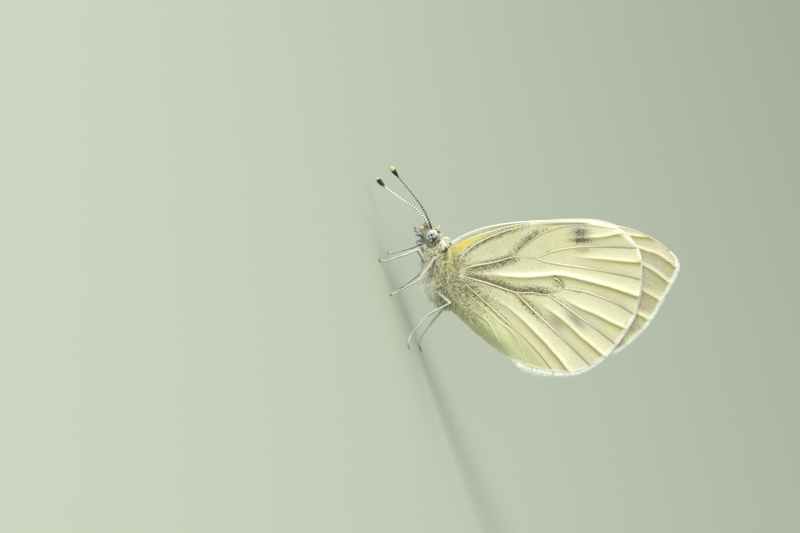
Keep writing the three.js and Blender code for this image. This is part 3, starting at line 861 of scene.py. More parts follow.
for which, path in LEG_PATHS.items():
    path = np.array(path)
    bends = np.concatenate([[0], np.cumsum(np.linalg.norm(np.diff(path, axis=0), axis=1))])
    knee, ankle = bends[1] / bends[-1], bends[2] / bends[-1]
    line = even_steps(path, LEG_STEPS)
    padded = np.pad(line, ((5, 5), (0, 0)), "edge")
    eased = np.stack([np.convolve(column, np.ones(11) / 11, "valid") for column in padded.T], axis=-1)
    line[1:-1] = eased[1:-1]
    share = np.linspace(0, 1, LEG_STEPS)
    girth = np.interp(
        share,
        [0, 0.3 * knee, 0.92 * knee, knee, knee + 0.15 * (ankle - knee), ankle - 0.01, ankle + 0.015, 1],
        [0.24, 0.2, 0.14, 0.12, 0.1, 0.125, 0.085, 0.06],
    )
    foot_joint = np.clip((share - ankle) / (1 - ankle), 0, 1) * 5 % 1
    flare = smooth_step(foot_joint, 0.3, 0.9) - smooth_step(foot_joint, 0.92, 1.0)
    girth = girth * (1 + 0.22 * (share > ankle) * flare)
    over = (0.0, 1.0, 0.0) if "hind" in which else (1.0, 0.0, 0.0)
    points, faces, places, along, outward = rod(line, girth, 12, over)
    heading = unit(np.gradient(line, axis=0))
    # Painted shade on the side of each leg that faces down and towards the tail, less of it on the thigh.
    under = smooth_step(outward @ np.array([0.87, 0.0, -0.49]), 0.15, 0.6)
    thigh = 1 - smooth_step(along, 0.5 * knee, 0.9 * knee)
    foot_rings = (along > ankle) * smooth_step(along * LEG_RINGS % 1, 0.8, 1.0)
    foot = 0.8 * smooth_step(along, 0.9, 1.0) + 0.35 * foot_rings
    leg = make_mesh(
        f"leg_{which}_limb",
        points,
        faces,
        leg_finish,
        {"under": under * (1 - 0.6 * thigh), "thigh": 0.8 * thigh, "foot": np.clip(foot, 0, 1)},
        places,
    )
    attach(leg, "root")
    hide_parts(f"leg_{which}")
    place = draw.uniform(0.02, 0.985, LEG_HAIRS)
    turn = draw.random(LEG_HAIRS) * 2 * math.pi
    low = np.minimum((place * (LEG_STEPS - 1)).astype(int), LEG_STEPS - 2)
    outward = outward_at(heading[low], turn, [0.3, 0.9, 0.2])
    thigh = 1 - smooth_step(place, 0.6 * knee, knee)
    hair = make_tufts(
        f"leg_{which}_hairs",
        hair_finish,
        line[low] + outward * girth[low][:, None],
        outward,
        heading[low],
        (0.13 + 0.3 * thigh) * draw.uniform(0.6, 1.4, LEG_HAIRS),
        0.026 * draw.uniform(0.7, 1.3, LEG_HAIRS),
        np.radians(20) + 0.12 * draw.normal(size=LEG_HAIRS),
        0.1 * draw.normal(size=LEG_HAIRS),
        0.2 * draw.normal(size=LEG_HAIRS),
        on_map(turn, place),
        {"dark": (draw.random(LEG_HAIRS) < 0.3 + 0.4 * smooth_step(place, 0.7, 1.0)) * 1.0},
    )
    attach(hair, "root")
    start = line[-1]
    forth = unit(line[-1] - line[-12])
    raised = np.array([0, 0, 0.03])
    claws, blocks, spots = [], [], []
    for number, lean in enumerate((-1, 1)):
        beside = lean * np.cross(forth, [0.0, 0.0, 1.0])
        hook = [
            start - 0.1 * forth,
            start + 0.04 * forth + 0.05 * beside,
            start + 0.16 * forth + 0.1 * beside + raised,
            start + 0.22 * forth + 0.13 * beside - raised,
        ]
        points, faces, places, _, _ = rod(through(hook, 14), np.linspace(0.032, 0.006, 14), 8)
        blocks += [block + number * len(points) for block in faces]
        claws.append(points)
        spots.append(places * [0.48, 1] + [0.5 * number, 0])
    claw = make_mesh(f"leg_{which}_claws", np.vstack(claws), blocks, horn, places=np.vstack(spots))
    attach(claw, "root")

# ---- Wings -----------------------------------------------------------------------------------
# Four dry membranes pleated like fans and covered with flat scales, the hindwings outside. Scales
# are cream, single ones black along the veins, yellow at the root of the hindwing's front edge.
# Painted highlights lie on the pleats' crests and front slopes, and painted shade in the hollows behind.
FOREWING_COSTA = [
    (-3.75, 7.45), (-4.06, 10.6), (-3.38, 15.0), (-1.78, 20.25), (0.54, 25.1), (2.52, 27.55), (4.2, 28.8),
]
FOREWING_REAR = [
    (-0.4, 7.05), (5.4, 12.8), (11.5, 18.4), (12.72, 19.72), (12.28, 21.75), (10.93, 24.5), (8.45, 27.35),
    (6.9, 28.95), (6.1, 29.4), (5.2, 29.3), (4.2, 28.8),
]
HINDWING_COSTA = [
    (-3.2, 7.05), (-3.5, 10.1), (-3.3, 14.3), (-2.55, 18.15), (-1.25, 22.2), (0.15, 24.4), (1.8, 25.55),
    (3.5, 26.05),
]
HINDWING_REAR = [
    (2.55, 4.85), (6.27, 6.92), (9.0, 8.75), (11.25, 10.75), (12.9, 13.5), (13.55, 16.15), (12.8, 19.25),
    (9.95, 23.2), (6.7, 25.3), (3.5, 26.05),
]
HIND_ROWS, HIND_COLUMNS, FORE_ROWS, FORE_COLUMNS = 240, 205, 220, 124
FORE_STACK, HIND_GAP, ROOT_SPREAD = 0.40, 0.34, 1.0
FORE_RELIEF = 0.8  # of the forewing's pleats to their full height
MEMBRANE = 0.07  # thickness
FRINGE_INSET = 0.26  # from a wing's edge to the tips of its fringe
MAP_WIDE, MAP_HIGH, MAP_INNER = 0.49, 0.95, 0.51  # one face of a wing on its map, and where the inner starts
MAP_HEM = [0.97, 0.99, 0.99, 0.97]  # the strip of the hem on the map


def fore_offset(x, z):
    """How far a forewing lies from the middle plane: the stack's half, and over the thorax a bell
    of the root's spread, e to the minus 0.55 times squared distance."""
    distance = ((x + 1.2) / 4.2) ** 2 + ((z - 5.6) / 2.4) ** 2
    return FORE_STACK + ROOT_SPREAD * np.exp(-0.55 * distance)


def hind_offset(x, z):
    """How far a hindwing lies from the middle plane: the greater, smoothly, of its forewing's offset
    with a gap and of the abdomen's half width there, drawn in where its edge curls below."""
    start, end = np.array([1.2, 5.65]), np.array([8.95, 9.95])
    length = np.linalg.norm(end - start)
    lie = (end - start) / length
    along = (x - start[0]) * lie[0] + (z - start[1]) * lie[1]
    above = (z - start[1]) * lie[0] - (x - start[0]) * lie[1]
    girth = 1.25 * np.sin(math.pi * np.clip(along / length, 0.001, 0.999) ** 0.75) ** 0.55 + 0.25
    beside = np.sqrt(np.maximum(0, girth**2 - above**2))
    outer = fore_offset(x, z) + HIND_GAP
    offset = 0.5 * (outer + beside + np.sqrt((outer - beside) ** 2 + 0.15)) - 0.06
    curl = smooth_step(-above, 0, 2.2) * (1 - smooth_step(along, length - 1, length + 2))
    return offset * (1 - 0.55 * curl)


def beside_line(x, z, knots, count=48):
    """Distance to a smooth line, on which side of it (+1 towards the front edge), and the share of
    its length: those of the nearest point on its nearest straight step."""
    line = even_steps(through(knots, 200), count)
    start, step = line[:-1], np.diff(line, axis=0)
    reach_x, reach_z = x[:, None] - start[:, 0], z[:, None] - start[:, 1]
    part = np.clip((reach_x * step[:, 0] + reach_z * step[:, 1]) / (step**2).sum(axis=1), 0, 1)
    gap_x, gap_z = reach_x - part * step[:, 0], reach_z - part * step[:, 1]
    square = gap_x**2 + gap_z**2
    nearest = square.argmin(axis=1)
    row = np.arange(len(x))
    side = step[nearest, 0] * gap_z[row, nearest] - step[nearest, 1] * gap_x[row, nearest]
    return np.sqrt(square[row, nearest]), np.sign(side), (nearest + part[row, nearest]) / (count - 1)


# A vein: its line, its dusting's width and density in front and behind, and where along it that fades.
HIND_VEINS = {
    "subcosta": ([(-1.6, 7.6), (-1.9, 8.0), (-2.65, 9.6), (-3.0, 12.1), (-2.95, 14.6), (-2.6, 17.5)],
        0.3, 0.6, 0.42, 0.85, (0.5, 0.95)),
    "radius": ([(-0.45, 7.3), (-0.62, 8.7), (-0.3, 11.0), (-0.2, 13.1), (0.1, 14.0), (0.68, 15.3)],
        0.38, 0.7, 0.75, 0.88, (0.66, 0.86)),
    "radial_sector": ([(-0.2, 13.1), (-0.9, 14.7), (-1.57, 17.0), (-1.5, 19.5), (-0.9, 21.6), (0.5, 24.6)],
        0.75, 0.8, 0.1, 0.2, (0.22, 0.44)),
    "media_1": ([(0.68, 15.3), (0.6, 17.5), (1.0, 20.1), (1.95, 23.0), (3.0, 25.75)],
        0.25, 0.3, 0.1, 0.1, (0.2, 0.7)),
    "media_2": ([(0.68, 15.3), (1.6, 16.65), (3.45, 20.3), (5.4, 23.75), (6.3, 25.15)],
        0.2, 0.25, 0.2, 0.25, (0.2, 0.7)),
    "cell_end": ([(3.2, 16.45), (3.6, 16.9), (4.63, 17.25)], 0.32, 0.9, 0.3, 0.8, (0.6, 1.1)),
    "cubitus": ([(-0.15, 7.2), (1.7, 9.9), (3.4, 12.2), (4.0, 13.9), (4.7, 15.4), (4.63, 17.25)],
        0.66, 1.08, 0.25, 0.7, (0.78, 0.95)),
    "media_3": ([(4.63, 17.25), (5.85, 19.5), (7.96, 22.0), (9.5, 23.3)],
        0.25, 0.35, 0.25, 0.35, (0.1, 0.8)),
    "cubitus_1": ([(4.7, 15.4), (6.94, 17.05), (9.8, 19.1), (11.9, 20.5)], 0.25, 0.5, 0.25, 0.4, (0.1, 0.8)),
    "cubitus_2": ([(3.4, 12.2), (5.64, 13.3), (9.3, 15.25), (13.1, 17.2)],
        0.5, 0.75, 0.46, 0.9, (0.08, 0.66)),
    "anal_1": ([(0.9, 7.5), (1.44, 7.8), (2.84, 8.55), (4.34, 9.4), (5.64, 10.1), (6.94, 10.9),
        (8.5, 11.7), (10.3, 12.5), (12.2, 13.2)], 0.35, 0.7, 0.4, 0.7, (0.15, 0.75)),
    "anal_2": ([(2.2, 7.5), (4.2, 8.7), (5.87, 9.65), (7.17, 10.5), (8.46, 10.9), (9.64, 11.0),
        (10.6, 11.0)], 0.3, 0.5, 0.4, 0.5, (0.1, 0.6)),
    "anal_3": ([(3.8, 7.4), (5.37, 8.5), (7.44, 8.95), (8.7, 9.3)], 0.3, 0.45, 0.4, 0.45, (0.1, 0.7)),
}
# A pleat: the line under its crest, its height, where along it that is reached, how wide its painted
# highlight shines.
HIND_PLEATS = [
    ([(0.3, 8.8), (0.9, 10.4), (1.64, 12.06), (2.28, 13.75), (2.72, 15.5), (3.17, 17.2), (3.83, 18.4),
        (5.07, 20.4), (6.42, 22.4), (8.0, 24.5)], 0.3, 0.25, 0.45),
    ([(-0.4, 18.4), (-0.14, 19.8), (0.29, 21.07), (0.73, 22.6), (0.95, 24.2), (1.2, 25.4)], 0.16, 0.5, 0.2),
    ([(1.5, 18.7), (2.43, 20.7), (2.93, 21.9), (3.6, 23.4), (4.08, 24.5), (4.6, 25.8)], 0.2, 0.45, 0.2),
    ([(4.9, 16.2), (5.84, 17.0), (7.14, 18.2), (8.24, 19.5), (9.54, 20.8), (11.0, 22.4)], 0.26, 0.35, 0.26),
    ([(4.8, 13.8), (6.31, 15.0), (7.48, 15.85), (8.7, 16.6), (9.94, 17.25), (11.07, 18.0), (12.9, 19.1)],
        0.24, 0.35, 0.26),
    ([(0.4, 7.7), (1.6, 8.5), (2.89, 9.3), (3.89, 10.3), (5.37, 11.4), (6.97, 12.3), (8.4, 13.0),
        (9.6, 13.6), (10.5, 13.95), (11.5, 14.4), (13.2, 15.0)], 0.24, 0.72, 0.26),
]
FORE_VEINS = {
    "radius": ([(-2.6, 8.2), (-2.7, 12.5), (-1.4, 17.5), (0.7, 22.5), (2.9, 27.0), (3.9, 28.4)],
        0.0, 0.0, 0.2, 0.1, (0.2, 0.85)),
    "radius_5": ([(0.2, 21.2), (1.9, 24.6), (3.6, 26.6), (5.0, 28.0), (5.8, 29.0)],
        0.2, 0.15, 0.2, 0.15, (0.2, 0.85)),
    "media_1": ([(1.0, 19.9), (3.0, 24.2), (4.4, 26.2), (6.0, 27.6), (7.0, 28.3)],
        0.2, 0.15, 0.2, 0.15, (0.2, 0.85)),
    "media_2": ([(1.9, 19.3), (4.2, 23.4), (6.2, 25.9), (8.15, 27.2)], 0.2, 0.15, 0.2, 0.15, (0.2, 0.85)),
    "media_3": ([(2.9, 18.6), (6.0, 22.6), (8.4, 24.8), (9.8, 25.4)], 0.2, 0.15, 0.2, 0.2, (0.2, 0.85)),
    "cubitus_1": ([(3.1, 17.2), (7.0, 20.6), (9.9, 22.7), (11.1, 23.45)], 0.2, 0.15, 0.2, 0.2, (0.2, 0.85)),
    "cubitus_2": ([(1.6, 13.4), (6.5, 17.6), (12.4, 21.6)], 0.2, 0.1, 0.2, 0.1, (0.2, 0.85)),
    "cubitus": ([(-2.2, 8.0), (0.2, 11.2), (1.6, 13.4), (3.1, 17.2), (2.9, 18.6), (1.0, 19.9)],
        0.3, 0.3, 0.3, 0.3, (0.2, 0.85)),
}
FORE_PLEATS = [
    ([(0.2, 22.0), (1.3, 25.0), (1.68, 25.9), (2.5, 27.8)], 0.14, 0.4, 0.2),
    ([(1.4, 23.6), (3.24, 26.2), (4.24, 27.6), (5.22, 28.4), (6.1, 29.0)], 0.24, 0.3, 0.17),
    ([(2.2, 22.6), (4.88, 25.8), (6.14, 26.95), (7.75, 28.0)], 0.24, 0.4, 0.17),
    ([(4.4, 22.6), (7.37, 24.95), (8.64, 26.1), (9.6, 26.8)], 0.22, 0.4, 0.17),
    ([(4.8, 18.9), (9.67, 23.8), (10.57, 24.6), (11.1, 25.0)], 0.2, 0.4, 0.3),
]
# A smudge: its middle, half lengths along and across, turn in degrees and depth.
HIND_SMUDGES = [
    ((-0.35, 20.7), (0.72, 0.42), 72, 0.6), ((0.38, 20.5), (0.95, 0.19), 72, 0.85),
    ((-0.1, 20.6), (0.9, 0.9), 72, 0.22), ((1.45, 20.4), (0.7, 0.32), 70, 0.3),
    ((8.15, 17.3), (1.4, 0.46), 28, 0.66), ((7.74, 15.3), (1.1, 0.5), 30, 0.5),
    ((5.6, 13.9), (1.0, 0.4), 30, 0.2), ((4.4, 25.7), (0.35, 0.2), 70, 0.35),
    ((10.4, 22.4), (0.4, 0.3), 50, 0.35), ((11.2, 21.4), (0.35, 0.25), 50, 0.3),
]
# Where the dark scales gather in spots: the same numbers.
HIND_SPOTS = [
    ((-0.45, 20.6), (0.9, 0.5), 72, 0.55), ((0.38, 20.45), (0.9, 0.24), 72, 1.0),
    ((1.45, 20.4), (0.8, 0.3), 70, 0.2), ((4.0, 16.6), (0.5, 0.3), 40, 0.5),
    ((1.4, 7.2), (3.4, 1.7), 30, 0.68), ((-1.8, 7.7), (1.0, 1.1), 0, 0.5),
]
# Painted shadow of the hindwing's edge on the forewing's tip: grey-lilac patches in a band just outside that
# edge, given by the same numbers.
FORE_EDGE_SHADOWS = [
    ((7.0, 25.6), (0.9, 0.4), 45, 0.35), ((9.1, 24.4), (0.7, 0.4), 50, 0.42),
    ((10.9, 22.6), (0.6, 0.4), 50, 0.45), ((12.1, 20.9), (0.3, 0.25), 50, 0.45),
    ((4.2, 26.5), (0.9, 0.25), 62, 0.15),
]
YOLK_STREAK = [
    (-2.7, 7.1), (-2.87, 7.8), (-3.05, 8.6), (-3.3, 9.9), (-3.2, 12.6),
]
WHITE_RIM = [
    (-2.9, 16.0), (-2.5, 18.15), (-1.2, 22.1), (0.2, 24.3), (1.8, 25.5), (3.5, 26.0), (6.7, 25.3),
    (9.9, 23.1), (12.5, 19.6),
]


def wing_relief(x, z, pleats):
    """Height of the pleats: each rises slowly to its crest from the front, and falls steeply behind."""
    height = np.zeros_like(x)
    for crest_with_painted_highlight, high, grown, shine in pleats:
        distance, side, along = beside_line(x, z, crest_with_painted_highlight)
        swell = smooth_step(along, 0.0, grown)
        fall = np.where(side > 0, 0.4 + 0.8 * shine, 0.25)
        height += 0.65 * high * swell * np.exp(-np.abs(distance - side * 0.1) / fall)
    return height


def hind_surface(x, z):
    """The middle of a hindwing's membrane: its offset and its pleats."""
    return hind_offset(x, z) + wing_relief(x, z, HIND_PLEATS)


def fore_surface(x, z):
    """The middle of a forewing's membrane: its offset and its flatter pleats."""
    return fore_offset(x, z) + FORE_RELIEF * wing_relief(x, z, FORE_PLEATS)


def bell(distance, wide, power=2):
    """1 on a line and less beside it: e to the minus distance over width, raised to a power."""
    return np.exp(-((distance / wide) ** power))


def deepen(marks, label, values):
    """Raises one marking to at least these values."""
    marks[label] = np.maximum(marks[label], values)


def wing_markings(x, z, veins, pleats, smudges_and_shadows):
    """Everything that colours the scales, as numbers from 0 to 1 on each point: the scales' own markings,
    painted highlights on the pleats' crests and front slopes, painted shade in the hollows behind them, and
    painted shadow among the smudges on the forewing.
    """
    marks = {label: np.zeros_like(x) for label in ("dust", "crest_with_painted_highlight", "glow", "hollow_painted_shade", "groove", "smudge_and_painted_shadow")}
    for name, (line, front_wide, front_dense, rear_wide, rear_dense, (last, end)) in veins.items():
        distance, side, along = beside_line(x, z, line)
        width = np.where(side > 0, front_wide, rear_wide) + 0.02
        dense = np.where(side > 0, front_dense, rear_dense)
        fade = smooth_step(along, -0.2, 0.2) * (1 - 0.9 * smooth_step(along, last, end))
        deepen(marks, "dust", dense * fade * bell(distance, width, 2.4))
        groove = 0.7 * smooth_step(along, 0.15, 0.8) * bell(np.maximum(distance - 0.02, 0), 0.06)
        if name in ("anal_2", "anal_3", "radial_sector", "subcosta") or pleats is FORE_PLEATS:
            groove = groove * 0.25
        deepen(marks, "groove", groove)
        if name[:5] in ("media", "cubit") and name != "cubitus":
            beside = np.where(side > 0, 0.24, 0.12) * bell(distance, 0.6)
            marks["smudge_and_painted_shadow"] += beside * smooth_step(along, 0.1, 0.6)
    # Painted light on each pleat: a highlight on its crest, a glow over its front slope, and painted shade
    # in the hollow behind it.
    for crest_with_painted_highlight, _, grown, shine in pleats:
        distance, side, along = beside_line(x, z, crest_with_painted_highlight)
        swell = smooth_step(along, 0.0, grown)
        deepen(marks, "crest_with_painted_highlight", swell * bell(distance, np.where(side > 0, 0.6 * shine + 0.1, 0.04)))
        deepen(marks, "glow", 0.65 * swell * (side > 0) * np.exp(-distance / (1.2 * shine + 0.15)))
        painted_shade_behind = np.where(side > 0, 0, np.exp(-distance / 0.3) * (1 - bell(distance, 0.05)))
        deepen(marks, "hollow_painted_shade", swell * (0.5 + 1.05 * along) * painted_shade_behind)
    marks["dust"] = np.maximum(marks["dust"] - 0.1, 0) / 0.9
    # Smudges, and on the forewing painted shadow of the hindwing's edge.
    for middle, half, turned, depth in smudges_and_shadows:
        marks["smudge_and_painted_shadow"] += depth * patch(x, z, middle, half, turned)
    return marks


def fringe_room(share):
    """How far inside a wing's rear edge its membrane ends: the fringe's inset, and from there less
    and less over the last tenth, where the rear edge runs to the front one."""
    return FRINGE_INSET * (1 - smooth_step(share, 0.9, 1.0))


def wing_grid(costa, rear, rows, columns):
    """Places seen from the side, each a share of the way from the front edge to the rear edge."""
    front = even_steps(through(costa, 400), rows + 2)[:rows]
    back = even_steps(through(rear, 400), rows + 2)[:rows]
    lie = unit(np.gradient(back, axis=0))
    room = fringe_room(np.linspace(0, 1, rows + 2)[:rows, None])
    back = back + room * np.stack([-lie[:, 1], lie[:, 0]], axis=-1)
    across = np.linspace(0, 1, columns)[:, None]
    return front[:, None, :] * (1 - across) + back[:, None, :] * across


def wing_shell(plan, middle, side):
    """A thin closed shell on both sides of a surface seen from the side, with its map's places.

    The outer and the inner face have half of the map each, and the hem a strip along its top.
    """
    rows, columns = plan.shape[:2]
    x, z = plan[..., 0].ravel(), plan[..., 1].ravel()
    outer = np.stack([x, side * (middle + MEMBRANE / 2), z], axis=-1)
    inner = np.stack([x, side * (middle - MEMBRANE / 2), z], axis=-1)
    faces = grid_faces(rows, columns)
    along, across = np.linspace(0, MAP_WIDE, rows), np.linspace(0, MAP_HIGH, columns)
    along, across = np.meshgrid(along, across, indexing="ij")
    flat = np.stack([along.ravel(), across.ravel()], axis=-1)
    grid = np.arange(rows * columns).reshape(rows, columns)
    border = np.concatenate([grid[0, :-1], grid[:-1, -1], grid[-1, :0:-1], grid[:0:-1, 0]])
    after = np.roll(border, -1)
    strip = np.stack([border, border + rows * columns, after + rows * columns, after], axis=-1)
    start = np.arange(len(border)) / len(border)
    step = start + 1 / len(border)
    along, across = np.stack([start, start, step, step], axis=-1), np.tile(MAP_HEM, (len(border), 1))
    strip_places = np.stack([along, across], axis=-1)
    blocks = [faces, faces[:, ::-1] + rows * columns, strip]
    places = [flat[faces], flat[faces[:, ::-1]] + [MAP_INNER, 0.0], strip_places]
    if side > 0:
        blocks = [block[:, ::-1] for block in blocks]
        places = [place[:, ::-1] for place in places]
    return np.vstack([outer, inner]), blocks, np.vstack([place.reshape(-1, 2) for place in places])


def wing_scales(name, dull, bright):
    """Flat scales from dull to bright, moved by the markings and by painted highlights and shade on the
    pleats, with single dark ones where it is dusted.
    """
    finish, nodes, link, shader = new_finish(name, 0.75)
    shader.inputs["Sheen Weight"].default_value = 0.12
    shown = blend_colours(nodes, link, dull, bright, kept(nodes, "bright"))
    for tint, size, low, much in (  # colour, how large its clouds are, where they start, how much of it
        ((228, 222, 176), 2.2, 0.35, 0.35),
        ((242, 238, 210), 0.13, 0.38, 0.55),
        ((172, 168, 118), 0.1, 0.5, 0.4),
        ((214, 202, 184), 1.7, 0.5, 0.24),
        ((222, 234, 206), 2.6, 0.48, 0.4),
        ((226, 216, 132), 1.2, 0.5, 0.2),
    ):
        play = stretched(nodes, link, grain(nodes, link, size), low, low + 0.22)
        play = arithmetic(nodes, link, "MULTIPLY", play, much)
        shown = blend_colours(nodes, link, shown, colour(*tint), play)
    # Among these, the glow and crest tints are painted highlights and the olive hollow tint painted shade;
    # the white rim tint also paints a highlight on the main crest, and the grey smudge tint also paints
    # shadow on the forewing.
    tints = {
        "thin": (195, 201, 151),
        "glow": (244, 240, 206),
        "hollow_painted_shade": (168, 160, 62),
        "crest_with_painted_highlight": (255, 251, 222),
        "yolk": (230, 208, 68),
        "rim_and_painted_light": (255, 254, 242),
        "groove": (150, 136, 102),
        "smudge_and_painted_shadow": (126, 119, 114),
    }
    shown = layered(nodes, link, shown, tints)
    haze = arithmetic(nodes, link, "MULTIPLY", kept(nodes, "dust"), 0.62)
    shown = blend_colours(nodes, link, shown, colour(140, 128, 84), haze)
    shown = speckle(nodes, link, shown, colour(68, 58, 30), 0.085, kept(nodes, "dust"))
    link(shown, shader.inputs["Base Color"])
    roughen(nodes, link, shader, grain(nodes, link, 0.09), 0.012, 0.5)
    return finish


hind_plan = wing_grid(HINDWING_COSTA, HINDWING_REAR, HIND_ROWS, HIND_COLUMNS)
hind_x, hind_z = hind_plan[..., 0].ravel(), hind_plan[..., 1].ravel()
hind_middle = hind_surface(hind_x, hind_z)
hind_marks = wing_markings(hind_x, hind_z, HIND_VEINS, HIND_PLEATS, HIND_SMUDGES)
hind_marks["bright"] = smooth_step(0.55 * hind_z + 0.83 * hind_x, 3.0, 16.0)
distance, _, along = beside_line(hind_x, hind_z, YOLK_STREAK)
yolk = smooth_step(hind_z, 6.95, 7.2) * (1 - 0.6 * smooth_step(along, 0.3, 0.65))
yolk = yolk * (1 - smooth_step(along, 0.6, 1.0))
hind_marks["yolk"] = yolk * bell(distance, np.interp(along, [0, 0.2, 0.5, 1], [0.36, 0.36, 0.32, 0.26]), 2.5)
distance, _, along = beside_line(hind_x, hind_z, WHITE_RIM, 120)
rim_stops = [0, 0.2, 0.27, 0.5, 0.58, 0.74, 0.84, 1]
rim_wide = np.interp(along, rim_stops, [0.16, 0.18, 0.38, 0.38, 0.22, 0.22, 0.32, 0.24])
rim_shine = np.interp(along, rim_stops, [0.7, 1.0, 1.0, 1.0, 0.4, 0.4, 0.85, 0.7])
hind_marks["rim_and_painted_light"] = rim_shine * bell(distance, rim_wide, 4)
seam = smooth_step(along, 0.02, 0.12) * (1 - smooth_step(along, 0.22, 0.28))
hind_marks["smudge_and_painted_shadow"] += 0.8 * seam * bell(distance - 0.33, 0.12)
to_hem = np.linalg.norm(hind_plan[:, -1:] - hind_plan, axis=-1).ravel()
hem = 0.9 * smooth_step(hind_z, 9.4, 10.6) * (1 - 0.6 * smooth_step(hind_z, 22.5, 24.3))
deepen(hind_marks, "rim_and_painted_light", hem * bell(to_hem, 0.18))
# A painted highlight along the main pleat's crest, laid into the white rim marking.
distance, side, along = beside_line(hind_x, hind_z, HIND_PLEATS[0][0])
main_crest_highlight = smooth_step(along, 0.05, 0.3) * (1 - smooth_step(along, 0.5, 0.9))
deepen(hind_marks, "rim_and_painted_light", 0.85 * main_crest_highlight * bell(distance, np.where(side > 0, 0.4, 0.04)))
for middle, half, turned, depth in HIND_SPOTS:
    deepen(hind_marks, "dust", depth * patch(hind_x, hind_z, middle, half, turned))
distance, side, _ = beside_line(hind_x, hind_z, HIND_VEINS["anal_1"][0])
hind_marks["thin"] = smooth_step(-side * distance, -0.1, 0.7) * 0.85
fore_plan = wing_grid(FOREWING_COSTA, FOREWING_REAR, FORE_ROWS, FORE_COLUMNS)
fore_x, fore_z = fore_plan[..., 0].ravel(), fore_plan[..., 1].ravel()
fore_middle = fore_surface(fore_x, fore_z)
fore_marks = wing_markings(fore_x, fore_z, FORE_VEINS, FORE_PLEATS, FORE_EDGE_SHADOWS)
fore_marks["bright"] = smooth_step(fore_x, -4.0, 12.0)
deepen(fore_marks, "dust", 0.25 * patch(fore_x, fore_z, (-2.5, 8.0), (2.0, 2.5)))
fore_marks["glow"] = 0.4 * fore_marks["glow"]
for label in ("yolk", "thin"):
    fore_marks[label] = np.zeros_like(fore_x)
to_hem = np.linalg.norm(fore_plan[:, -1:] - fore_plan, axis=-1).ravel()
fore_marks["rim_and_painted_light"] = 0.9 * bell(to_hem, 0.14) + 0.95 * patch(fore_x, fore_z, (-3.5, 7.5), (0.45, 0.8))
fore_marks["rim_and_painted_light"] += 0.55 * patch(fore_x, fore_z, (-3.9, 9.2), (0.42, 2.0))
distance, _, along = beside_line(fore_x, fore_z, FOREWING_COSTA)
fore_marks["smudge_and_painted_shadow"] += 0.4 * (1 - smooth_step(along, 0.3, 0.55)) * bell(distance - 0.32, 0.2)

hind_scales = wing_scales("hindwing_scales", colour(182, 184, 134), colour(229, 224, 186))
fore_scales = wing_scales("forewing_scales", colour(200, 186, 168), colour(182, 170, 132))
for which, side in (("left", -1), ("right", 1)):
    for part, plan, middle, marks, finish in (
        ("hindwing", hind_plan, hind_middle, hind_marks, hind_scales),
        ("forewing", fore_plan, fore_middle, fore_marks, fore_scales),
    ):
        points, blocks, places = wing_shell(plan, middle, side)
        both_faces = {label: np.tile(np.clip(values, 0, 1), 2) for label, values in marks.items()}
        wing = make_mesh(f"{part}_{which}_membrane", points, blocks, finish, both_faces, places)
        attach(wing, "root")
        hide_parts(f"{part}_{which}")

# ---- Veins -----------------------------------------------------------------------------------
# Stiff tubes that stand out of the membrane's outer face, thick at the root and fine at the
# edge, pale cream where they leave the body and brown near the edge. The front edges are veins too,
# set in the membrane's middle so that they stand out on both faces.
VEIN_STEPS = 90
PLAIN_VEINS = ("radius", "cubitus", "anal_2", "anal_3", "radial_sector", "subcosta")  # pale to the edge
vein_finish, nodes, link, shader = new_finish("vein_tubes", 0.55)
tints = {"brown": (154, 139, 108), "white": (250, 247, 238)}
link(layered(nodes, link, colour(236, 230, 200), tints), shader.inputs["Base Color"])
vein_sets = {  # how a wing's surface lies, its veins, their half widths, its front edge and that vein's
    "hindwing": (hind_surface, HIND_VEINS, (0.092, 0.026), (HINDWING_COSTA, 0.07, 0.05)),
    "forewing": (fore_surface, FORE_VEINS, (0.07, 0.024), (FOREWING_COSTA, 0.1, 0.06)),
}


def vein_tints(part, name, along):
    """How brown and how white a vein is, from 0 to 1, at each share of its length."""
    if name == "costa" and part == "forewing":
        return 0.4 * smooth_step(along, 0.72, 0.85), 0.9 * (1 - smooth_step(along, 0.6, 0.8))
    if name == "costa":
        return 0.4 * (1 - smooth_step(along, 0.04, 0.12)), 0.5 * smooth_step(along, 0.06, 0.16)
    outer = (name not in PLAIN_VEINS) * (0.5 if part == "forewing" else 0.9) * smooth_step(along, 0.4, 0.9)
    inner = (0.5 if "anal" in name else 0.15) * (1 - smooth_step(along, 0.05, 0.5))
    return outer + (0.4 if name == "radial_sector" else inner), 0 * along


for which, side in (("left", -1), ("right", 1)):
    for part, (surface, veins, girths, costa) in vein_sets.items():
        lines = [(line, *girths, name) for name, (line, *_) in veins.items()] + [(*costa, "costa")]
        points, blocks, places, brown, white = [], [], [], [], []
        first = 0
        for number, (knots, thick, thin, name) in enumerate(lines):
            flat = even_steps(through(knots, 300), VEIN_STEPS)
            lifted = surface(*flat.T) + (0.0 if name == "costa" else MEMBRANE / 2)
            line = np.stack([flat[:, 0], side * lifted, flat[:, 1]], axis=-1)
            share = np.linspace(0, 1, VEIN_STEPS)
            girth = np.interp(share, [0, 0.2, 0.45, 1], [0.6 * thick, thick, 0.8 * thick, thin])
            tube, faces, spots, along, _ = rod(line, girth, 8, (0.0, side, 0.0))
            points.append(tube)
            blocks += [block + first for block in faces]
            places.append(spots * [1 / len(lines), 1] + [number / len(lines), 0])
            tinted = vein_tints(part, name, along)
            brown.append(tinted[0])
            white.append(tinted[1])
            first += len(tube)
        tubes = make_mesh(
            f"{part}_{which}_veins",
            np.vstack(points),
            blocks,
            vein_finish,
            {"brown": np.concatenate(brown), "white": np.concatenate(white)},
            np.vstack(places),
        )
        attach(tubes, "root")

